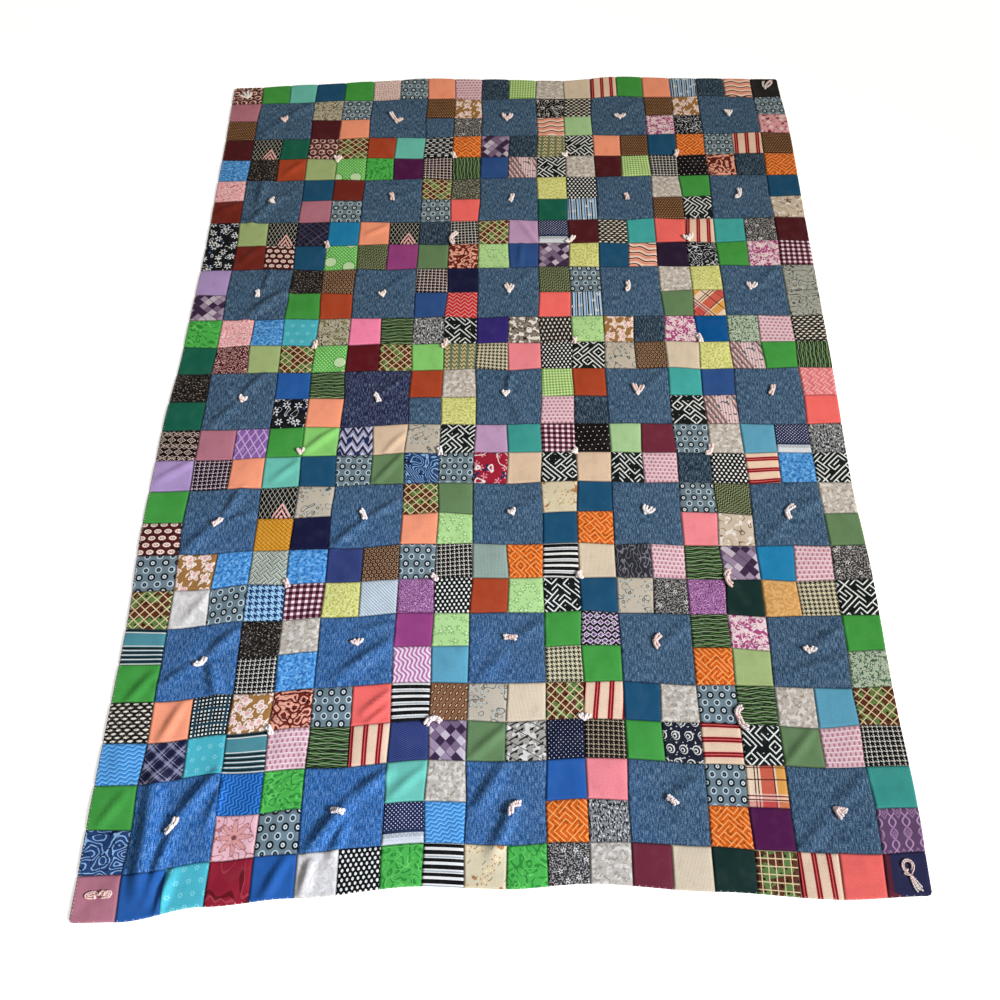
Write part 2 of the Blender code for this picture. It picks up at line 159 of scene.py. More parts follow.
# Ties: node, (across, down), shape, turn in degrees, size against the shape's own
TIES = (
    ("block_tie_1_1", 1.98, 2.04, "curl", 10, 1.0),
    ("block_tie_2_1", 5.96, 2.15, "long", 0, 1.0),
    ("block_tie_3_1", 9.93, 2.13, "hook", 0, 1.0),
    ("block_tie_4_1", 14.09, 2.14, "wide", 0, 1.0),
    ("block_tie_5_1", 18.03, 2.02, "fork", 20, 0.8),
    ("block_tie_1_2", 1.95, 6.11, "curl", -70, 1.0),
    ("block_tie_2_2", 6.04, 5.89, "bean", 8, 1.0),
    ("block_tie_3_2", 10.10, 6.06, "bean", -18, 1.0),
    ("block_tie_4_2", 14.11, 6.03, "bean", 8, 0.8),
    ("block_tie_5_2", 17.95, 5.97, "ess", 0, 1.05),
    ("block_tie_1_3", 2.02, 10.03, "bean", 5, 0.85),
    ("block_tie_2_3", 5.97, 10.07, "curl", 20, 0.85),
    ("block_tie_3_3", 10.02, 9.98, "fork", 15, 1.1),
    ("block_tie_4_3", 13.90, 9.92, "ess", 10, 0.85),
    ("block_tie_5_3", 17.92, 9.93, "hook", -12, 0.85),
    ("block_tie_1_4", 2.03, 14.00, "curl", -20, 0.9),
    ("block_tie_2_4", 6.06, 14.03, "bean", 25, 1.0),
    ("block_tie_3_4", 9.93, 13.93, "curl", 0, 0.75),
    ("block_tie_4_4", 13.98, 13.92, "fork", 10, 1.25),
    ("block_tie_5_4", 18.08, 13.86, "bean", -22, 1.1),
    ("block_tie_1_5", 1.93, 18.09, "bean", -45, 0.95),
    ("block_tie_2_5", 5.94, 18.00, "bean", 22, 1.0),
    ("block_tie_3_5", 10.14, 18.04, "curl", 30, 0.75),
    ("block_tie_4_5", 13.95, 18.00, "hook", -30, 0.8),
    ("block_tie_5_5", 18.01, 17.90, "cross", -20, 1.1),
    ("block_tie_1_6", 2.05, 22.05, "ess", -35, 0.8),
    ("block_tie_2_6", 6.04, 21.79, "wide", 10, 0.75),
    ("block_tie_3_6", 10.09, 21.72, "bean", 80, 1.05),
    ("block_tie_4_6", 13.93, 21.80, "cross", -10, 0.9),
    ("block_tie_5_6", 18.02, 21.97, "wide", -8, 0.8),
    ("block_tie_1_7", 1.98, 26.07, "bean", -38, 1.3),
    ("block_tie_2_7", 5.91, 26.05, "bean", 78, 1.1),
    ("block_tie_3_7", 10.15, 26.06, "cross", -40, 0.9),
    ("block_tie_4_7", 14.13, 25.95, "bean", 48, 0.85),
    ("block_tie_5_7", 18.12, 25.97, "fork", -110, 0.95),
    ("corner_tie_far_left", 0.52, 0.62, "fork", 25, 1.1),
    ("corner_tie_far_right", 19.52, 0.52, "hook", -35, 0.9),
    ("corner_tie_near_left", 0.50, 27.47, "bean", 88, 1.15),
    ("corner_tie_near_right", 19.52, 27.40, "cross", 0, 1.15),
    ("crossing_tie_1_2", 4.04, 8.00, "bean", 15, 0.85),
    ("crossing_tie_2_2", 8.06, 7.76, "cross", -10, 1.2),
    ("crossing_tie_3_2", 12.06, 7.90, "ess", -30, 0.85),
    ("crossing_tie_4_2", 16.10, 7.92, "hook", 15, 0.8),
    ("crossing_tie_1_3", 4.00, 12.00, "bean", -8, 0.9),
    ("crossing_tie_2_3", 8.05, 12.03, "ess", 5, 0.8),
    ("crossing_tie_3_3", 12.05, 12.00, "bean", -15, 0.7),
    ("crossing_tie_4_3", 16.05, 11.90, "bean", 15, 0.9),
    ("crossing_tie_1_4", 3.97, 15.86, "curl", 0, 0.75),
    ("crossing_tie_2_4", 8.03, 15.95, "bean", 10, 0.8),
    ("crossing_tie_3_4", 12.00, 16.00, "curl", 60, 0.7),
    ("crossing_tie_4_4", 16.02, 15.93, "ess", -5, 0.9),
    ("crossing_tie_1_5", 4.04, 19.98, "bean", 25, 0.85),
    ("crossing_tie_2_5", 8.02, 20.00, "bean", 40, 0.65),
    ("crossing_tie_3_5", 11.98, 19.95, "curl", -60, 0.75),
    ("crossing_tie_4_5", 16.06, 19.97, "cee", 0, 0.95),
    ("crossing_tie_1_6", 4.05, 24.00, "bean", 30, 0.75),
    ("crossing_tie_2_6", 8.10, 23.95, "wide", 190, 1.25),
    ("crossing_tie_3_6", 12.02, 23.98, "wide", 0, 0.75),
    ("crossing_tie_4_6", 16.00, 23.85, "cee", 8, 1.25),
    ("", 4.02, 4.10, "fork", 10, 0.8),
    ("", 8.05, 3.98, "bean", 20, 0.8),
    ("", 12.00, 3.98, "curl", 30, 0.75),
    ("", 15.98, 3.98, "bean", -20, 0.85),
)

# The corner ties' strands, each as (to the right, to the far end) in mm from the knot
CORNER_STRANDS = {
    "corner_tie_far_left": (((0, 0), (-5, 8), (-12, 19), (-17, 25)), ((0, 0), (1, 10), (-1, 22), (-2, 29)),
                            ((0, 0), (6, 6), (9, 14), (8, 22)), ((0, 0), (-10, 3), (-19, 7), (-25, 10))),
    "corner_tie_far_right": (((0, 0), (3, 12), (12, 24), (19, 26), (17, 16), (8, 6), (1, 1)),
                             ((0, 0), (-5, 7), (-6, 16), (-3, 25))),
    "corner_tie_near_left": (((8, 4), (-2, 8), (-12, 6), (-16, 2), (-8, 0), (4, 2)),
                             ((8, 4), (13, 9), (20, 8), (24, 4), (16, 1), (9, 2)),
                             ((16, 5), (24, 10), (29, 7), (26, 2), (20, 1))),
    "corner_tie_near_right": (((3, -9), (-4, -1), (-7, 8), (-3, 15), (4, 16), (10, 11), (10, 3), (6, -4),
                               (3, -9)),
                              ((3, -9), (-3, -6), (-6, -3)), ((3, -9), (6, -19), (9, -29), (14, -36)),
                              ((3, -9), (10, -17), (16, -27), (23, -34))),
}

# How deeply some ties are dyed, from 0 to 1
YARN_TINTS = {
    "crossing_tie_1_4": 0.6, "block_tie_3_6": 0.5, "block_tie_4_6": 0.85, "corner_tie_near_left": 0.9,
    "block_tie_5_7": 0.6, "crossing_tie_4_5": 0.8, "crossing_tie_4_6": 0.5,
}

# Loose ends of thread: (across, down) on the rim, then (to the right, to the far end) in mm from there
LOOSE_THREADS = (
    (0.0, 18.3, (-5, 2), (-11, -1), (-17, 3)),
    (0.0, 18.9, (-6, -3), (-12, 1), (-16, -5)),
    (0.0, 22.4, (-4, -4), (-9, -3), (-13, -8)),
    (0.0, 9.2, (-4, 2), (-8, 1), (-11, 5)),
    (4.6, 0.0, (2, 5), (6, 9), (4, 14)),
    (11.3, 0.0, (-3, 4), (-2, 10), (-6, 13)),
    (20.0, 15.2, (4, 3), (9, 2), (12, 6)),
)

# The squares' fabrics, row by row from the far rim; ## is part of a denim block
CHART = """
mp gk aq dt gk pf fo pe pb dk lg fw cr rs gk pe bs dk pw bk
dp ## ## cs fo ## ## bn tn ## ## bp da ## ## bn tn ## ## fo
bn ## ## ma pe ## ## db ks ## ## pw gp ## ## fp bg ## ## fr
ma lc gd mp la ru aq bb om pq dk kh mz pe bn dt om fo rs bn
be kb ru go gb ge pl ck ba mb gr mz fw ma lg hb pd rl dk om
pv ## ## dt dr ## ## la gz ## ## ye ov ## ## fw gk ## ## dt
dr ## ## dp fo ## ## fo co ## ## gd bs ## ## bn mz ## ## fb
fn go lc dx ce pe lc dk hb la li nb ma da tq co rs tq ks ma
fn dr dl dt gb ol or gs rl fm mb pq ye dt pw eg bg gk fp mg
lv ## ## kb rg ## ## ck nv ## ## ol fo ## ## fw ye ## ## fx
pq ## ## gk ru ## ## mb rz ## ## co bs ## ## gs op ## ## fx
ge pv be tt cs pk ba gt mz vi bx bl fm tn dk fp cb fg pb da
gd mv go la gb rd la gl kh hc sp ov mz fl rg cr ye gr gk ba
kb ## ## rb ba ## ## ru fw ## ## lg ru ## ## tq mb ## ## px
gd ## ## fn pe ## ## db ye ## ## pb dk ## ## mz gr ## ## co
bm dp ld gk gl nz cp fl mz li te mg pd gp bu fo fw sk nb gt
lv hn pe aq dt fo gs sw fo rf cp mz cp mz pb dk ov rs be mz
gk ## ## lc fl ## ## la gs ## ## fy dt ## ## fo ol ## ## fw
dl ## ## mu nv ## ## pe fm ## ## dt om ## ## sp fb ## ## gs
fo tn be gm be di rg fo hb sg om ws cr cc pb ba pq ce pb ks
la wh fo hl mg ye ds pu ov ru fm mz dt fl ks pu gx gy hc mz
ts ## ## kb fw ## ## or fm ## ## gk ar ## ## ba fp ## ## gk
gk ## ## hb be ## ## pz sk ## ## hc gk ## ## om go ## ## fg
da pe gw tn rl fo co ws tl fl cr la rs dt fw fo ba fw sk la
bw np tt ts pb ba rs di pq gs gg nd hk gk pa rs mz gs pb hb
gk ## ## bt ge ## ## aq fw ## ## rb sp ## ## fo op ## ## te
sw ## ## pi fo ## ## nb bw ## ## om gt ## ## om pl ## ## oo
dp rb tt cm rb wh ov ge ws fy ge ks fw bu cr gx la rs co nm
"""
PAINTED_LIGHT_PLACE = (3.8, 28)      # where the painted light on the denim is brightest, across and down
PAINTED_LIGHT_REACH = (8, 9)         # how far that painted light reaches across and down, in squares
DARK_BLOCKS = {(5, 13)}       # the block of dark indigo denim: its first square across and down
# Squares cut with the print lying another way: (across, down): turn in degrees
TURNED = {(17, 16): 90, (15, 24): 90, (8, 4): 90, (19, 12): 90, (16, 27): 45, (16, 10): 45, (14, 8): 15}


# ---------------------------------------------------------------- materials

def linear(hex_colour):
    """An sRGB hex colour as linear red, green, blue and alpha."""
    parts = [int(hex_colour[i:i + 2], 16) / 255 for i in (0, 2, 4)]
    return (*(p / 12.92 if p <= 0.04045 else ((p + 0.055) / 1.055) ** 2.4 for p in parts), 1.0)


def add(tree, kind, settings=None, inputs=None):
    """One node with its settings, its inputs set or linked; gives the node."""
    node = tree.nodes.new("ShaderNode" + kind)
    for key, value in (settings or {}).items():
        setattr(node, key, value)
    for key, value in (inputs or {}).items():
        value = getattr(value, "socket", value)
        if isinstance(value, bpy.types.NodeSocket):
            tree.links.new(value, node.inputs[key])
        else:
            node.inputs[key].default_value = value
    return node


class Reading:
    """A value that changes over the cloth. Python's own signs work it out in the material's nodes."""

    def __init__(self, tree, socket):
        self.tree, self.socket = tree, socket

    def work(self, operation, *others):
        values = {0: self, **{i + 1: other for i, other in enumerate(others)}}
        return Reading(self.tree, add(self.tree, "Math", {"operation": operation}, values).outputs[0])


for sign, operation in {
    "__add__": "ADD", "__radd__": "ADD", "__sub__": "SUBTRACT", "__mul__": "MULTIPLY", "__rmul__": "MULTIPLY",
    "__truediv__": "DIVIDE", "__mod__": "FLOORED_MODULO", "__lt__": "LESS_THAN", "__gt__": "GREATER_THAN",
    "__or__": "MAXIMUM", "__and__": "MINIMUM", "__pow__": "POWER", "__abs__": "ABSOLUTE",
    "fraction": "FRACT", "whole": "FLOOR", "sine": "SINE", "cosine": "COSINE", "root": "SQRT",
    "turn": "ARCTAN2",
}.items():
    setattr(Reading, sign, lambda self, *others, operation=operation: self.work(operation, *others))


class Fabric:
    """One fabric: its material, and where a point lies on the cloth in millimetres."""

    def __init__(self, name, ground):
        self.material = bpy.data.materials.new(name)
        self.material.use_nodes = True
        self.tree = self.material.node_tree
        self.shader = self.tree.nodes["Principled BSDF"]
        place = add(self.tree, "UVMap", {"uv_map": "Cloth"}).outputs[0]
        apart = add(self.tree, "SeparateXYZ", {}, {0: place})
        self.x, self.y = (Reading(self.tree, apart.outputs[i]) for i in (0, 1))
        self.colour = linear(ground)

    def lay(self, colour, mask):
        """Another colour over what is there, where the mask is 1."""
        mix = add(self.tree, "Mix", {"data_type": "RGBA"}, {0: mask, 6: self.colour, 7: linear(colour)})
        self.colour = mix.outputs[2]

    def mottle(self, size, stretch, detail, shift):
        """Soft random patches about a size in mm, longer down the cloth by stretch: mostly near 0.5."""
        place = add(self.tree, "CombineXYZ", {}, {0: self.x / size, 1: self.y / (size * stretch), 2: shift})
        noise = add(self.tree, "TexNoise", {"noise_dimensions": "3D"},
                    {"Vector": place.outputs[0], "Scale": 1.0, "Detail": detail})
        return Reading(self.tree, noise.outputs[0])

    def scattered(self, pitch, jitter):
        """Where a point lies from the nearest of scattered centres, in mm, and each centre's own number."""
        place = add(self.tree, "CombineXYZ", {}, {0: self.x / pitch, 1: self.y / pitch})
        cells = add(self.tree, "TexVoronoi", {"voronoi_dimensions": "2D"},
                    {"Vector": place.outputs[0], "Scale": 1.0, "Randomness": jitter})
        centre = add(self.tree, "SeparateXYZ", {}, {0: cells.outputs["Position"]})
        number = add(self.tree, "SeparateColor", {}, {0: cells.outputs["Color"]})
        return (self.x - Reading(self.tree, centre.outputs[0]) * pitch,
                self.y - Reading(self.tree, centre.outputs[1]) * pitch, Reading(self.tree, number.outputs[0]))

    def motif(self, pitch, stagger=0.5, tall=1.0):
        """Where a point lies from the centre of its motif, in mm, in rows that step sideways."""
        row = (self.y / (pitch * tall)).whole()
        x = self.x + (row % 2.0) * (pitch * stagger)
        return (((x / pitch).fraction() - 0.5) * pitch,
                ((self.y / (pitch * tall)).fraction() - 0.5) * (pitch * tall))

    def along(self, angle):
        """How far a point lies along a direction, in mm."""
        turn = math.radians(angle)
        return self.x * round(math.cos(turn), 6) + self.y * round(math.sin(turn), 6)


# Prints. Each gives a mask from sizes in millimetres: 1 where the motif's colour lies.

def band(phase, low, high):
    """1 between low and high."""
    return (phase > low) * (phase < high)


def outside(mask):
    """1 where a mask is 0."""
    return mask * -1.0 + 1.0


def stripes(f, repeat, low, high, angle=0):
    """Stripes that fill one part of each repeat, from low to high."""
    return band((f.along(angle) / repeat).fraction(), low, high)


def length_of(dx, dy):
    return (dx * dx + dy * dy).root()


def gingham(f, repeat, share):
    return (stripes(f, repeat, 0, share) + stripes(f, repeat, 0, share, 90)) * 0.5


def crossings(f, repeat, share):
    """Where the stripes across and along meet."""
    return stripes(f, repeat, 0, share) * stripes(f, repeat, 0, share, 90)


def panes(f, repeat, share):
    return stripes(f, repeat, 0, share) | stripes(f, repeat, 0, share, 90)


def lattice(f, pitch, width, lean=45):
    return stripes(f, pitch, 0, width / pitch, lean) | stripes(f, pitch, 0, width / pitch, -lean)


def houndstooth(f, size, share=0.5):
    warp, weft = stripes(f, size, 0, share), stripes(f, size, 0, share, 90)
    over = band(((f.x + f.y) / (size / 2)).fraction(), 0, 0.5)
    return warp * over + weft * outside(over)


def dots(f, pitch, radius, inner=0.0, stagger=0.5, tall=1.0, squash=1.0, only_row=None):
    """Dots or rings in rows; only_row 0 or 1 keeps every second row."""
    dx, dy = f.motif(pitch, stagger, tall)
    mask = band(length_of(dx, dy * squash), inner - 1e-3, radius)
    if only_row is None:
        return mask
    row = (f.y / (pitch * tall)).whole() % 2.0
    return mask * row if only_row else mask * outside(row)


def blobs(f, pitch, radius, jitter=1.0):
    """Scattered dots."""
    dx, dy, _ = f.scattered(pitch, jitter)
    return length_of(dx, dy) < radius


def petalled(dx, dy, heading, radius, depth, inner):
    """A flower round a centre, whose petals are depth of its radius deep."""
    reach = (heading.cosine() * depth + (1 - depth)) * radius
    away = length_of(dx, dy)
    return (away < reach) * (away > inner)


def blooms(f, pitch, radius, petals=5, depth=0.35, inner=0.0):
    """Scattered flowers, each turned its own way."""
    dx, dy, number = f.scattered(pitch, 0.9)
    return petalled(dx, dy, dy.turn(dx) * float(petals) + number * 6.0, radius, depth, inner)


def medallions(f, pitch, radius, petals=8, depth=0.2, inner=0.0, stagger=0.5):
    """Round flowers in rows."""
    dx, dy = f.motif(pitch, stagger)
    return petalled(dx, dy, dy.turn(dx) * float(petals), radius, depth, inner)


def drops(f, pitch, size, inner):
    """Curled drops, round at one end and drawn out at the other."""
    dx, dy = f.motif(pitch)
    away = length_of(dx, dy)
    reach = ((dy.turn(dx) - 0.6).cosine() * 0.45 + 0.75) * size
    return (away < reach) * (away > reach * inner)


def zigzag(f, repeat, rise, line, low, high):
    fall = abs((f.along(0) / repeat).fraction() - 0.5) * (2.0 * rise)
    return band(((f.along(90) + fall) / line).fraction(), low, high)


def waves(f, length, swing, line, low, high, angle=0):
    fall = (f.along(angle) * (2 * math.pi / length)).sine() * swing
    return band(((f.along(angle + 90) + fall) / line).fraction(), low, high)


def maze(f, size, share):
    """Angular lines that turn at random from square to square, on the slant."""
    u, v = f.along(0) / size, f.along(90) / size
    place = add(f.tree, "CombineXYZ", {}, {0: u.whole(), 1: v.whole()})
    chance = Reading(f.tree, add(f.tree, "TexWhiteNoise", {"noise_dimensions": "2D"},
                                 {"Vector": place.outputs[0]}).outputs[0]) > 0.5
    near, far = u.fraction(), v.fraction()
    one = abs(near - far) < share
    corner = abs(near - far) > (1 - share)
    other = abs(near + far - 1.0) < share
    edge = ((near + far) < share) | ((near + far) > (2 - share))
    return chance * (one | corner) + outside(chance) * (other | edge)


def keys(f, size, share):
    """Angular hooked bars, stepping from row to row."""
    dx, dy = f.motif(size, 0.5, 0.75)
    bar = (abs(dy - dx * 0.6) < size * share) * (abs(dx) < size * 0.42)
    hook = (abs(dx - dy * 0.4 - size * 0.3) < size * share) * (dy > 0.0) * (dy < size * 0.34)
    return bar | hook


def squiggle(f, size, contours, share, stretch=1.0, shift=0.0):
    return band((f.mottle(size, stretch, 0.5, shift) * contours).fraction(), 0, share)


def specks(f, size, above, stretch=1.0, shift=0.0, detail=1.0):
    return f.mottle(size, stretch, detail, shift) > above


def diamonds(f, pitch, share, tall=1.0, inner=0.0, stagger=0.5):
    dx, dy = f.motif(pitch, stagger, tall)
    away = abs(dx) / pitch + abs(dy) / (pitch * tall)
    return band(away, inner - 1e-3, share)


def leaves(f, pitch, length, width, lean, tall=1.0):
    """Pointed ovals in rows."""
    dx, dy = f.motif(pitch, 0.5, tall)
    turn = math.radians(lean)
    u = dx * math.cos(turn) + dy * math.sin(turn)
    v = dy * math.cos(turn) - dx * math.sin(turn)
    end = u / (length / 2)
    return abs(v) < (end * end * -1.0 + 1.0) * (width / 2)


def ogee(f, wide, tall, width):
    swing = (f.y * (2 * math.pi / tall)).cosine() * (wide / 4)
    one = abs(((f.x + swing) / wide).fraction() - 0.5) * wide < width
    other = abs(((f.x - swing) / wide).fraction() - 0.5) * wide < width
    return one | other


def basket(f, size, share):
    """Short bars on the slant that lie one way and the other by turns."""
    u, v = f.along(45) / size, f.along(135) / size
    odd = (u.whole() + v.whole()) % 2.0
    return odd * band((u * 2.0).fraction(), 0, share) + outside(odd) * band((v * 2.0).fraction(), 0, share)


def chequer(f, size):
    return ((f.x / size).whole() + (f.y / size).whole()) % 2.0


def tiles(f, size, lean, above, shift=0.0):
    """Whole squares picked out at random."""
    u, v = f.along(lean) / size, f.along(lean + 90) / size
    place = add(f.tree, "CombineXYZ", {}, {0: u.whole(), 1: v.whole(), 2: shift})
    chance = add(f.tree, "TexWhiteNoise", {"noise_dimensions": "3D"}, {"Vector": place.outputs[0]}).outputs[0]
    return Reading(f.tree, chance) > above


def chevrons(f, middle, top, repeat):
    """Nested chevrons that point up, beside one line of the square and below a height."""
    aside = abs(f.x - middle)
    rise = f.y + aside * 1.7
    return band((rise / repeat).fraction(), 0, 0.5) * (aside < 18.0) * (rise < top)


def part_of(f, low, high, angle=90):
    """One side of the square, from low to high in mm."""
    return band(f.along(angle), low, high)


def half(f, pattern, *sizes):
    """A print whose colour only half covers what it crosses, as in a plaid."""
    return pattern(f, *sizes) * 0.5


def slanted(repeat, *bands):
    """The layers of a plaid that lies on the slant: each (colour, low, high) runs both ways."""
    return tuple((colour, half, stripes, repeat, low, high, lean)
                 for colour, low, high in bands for lean in (45, -45))


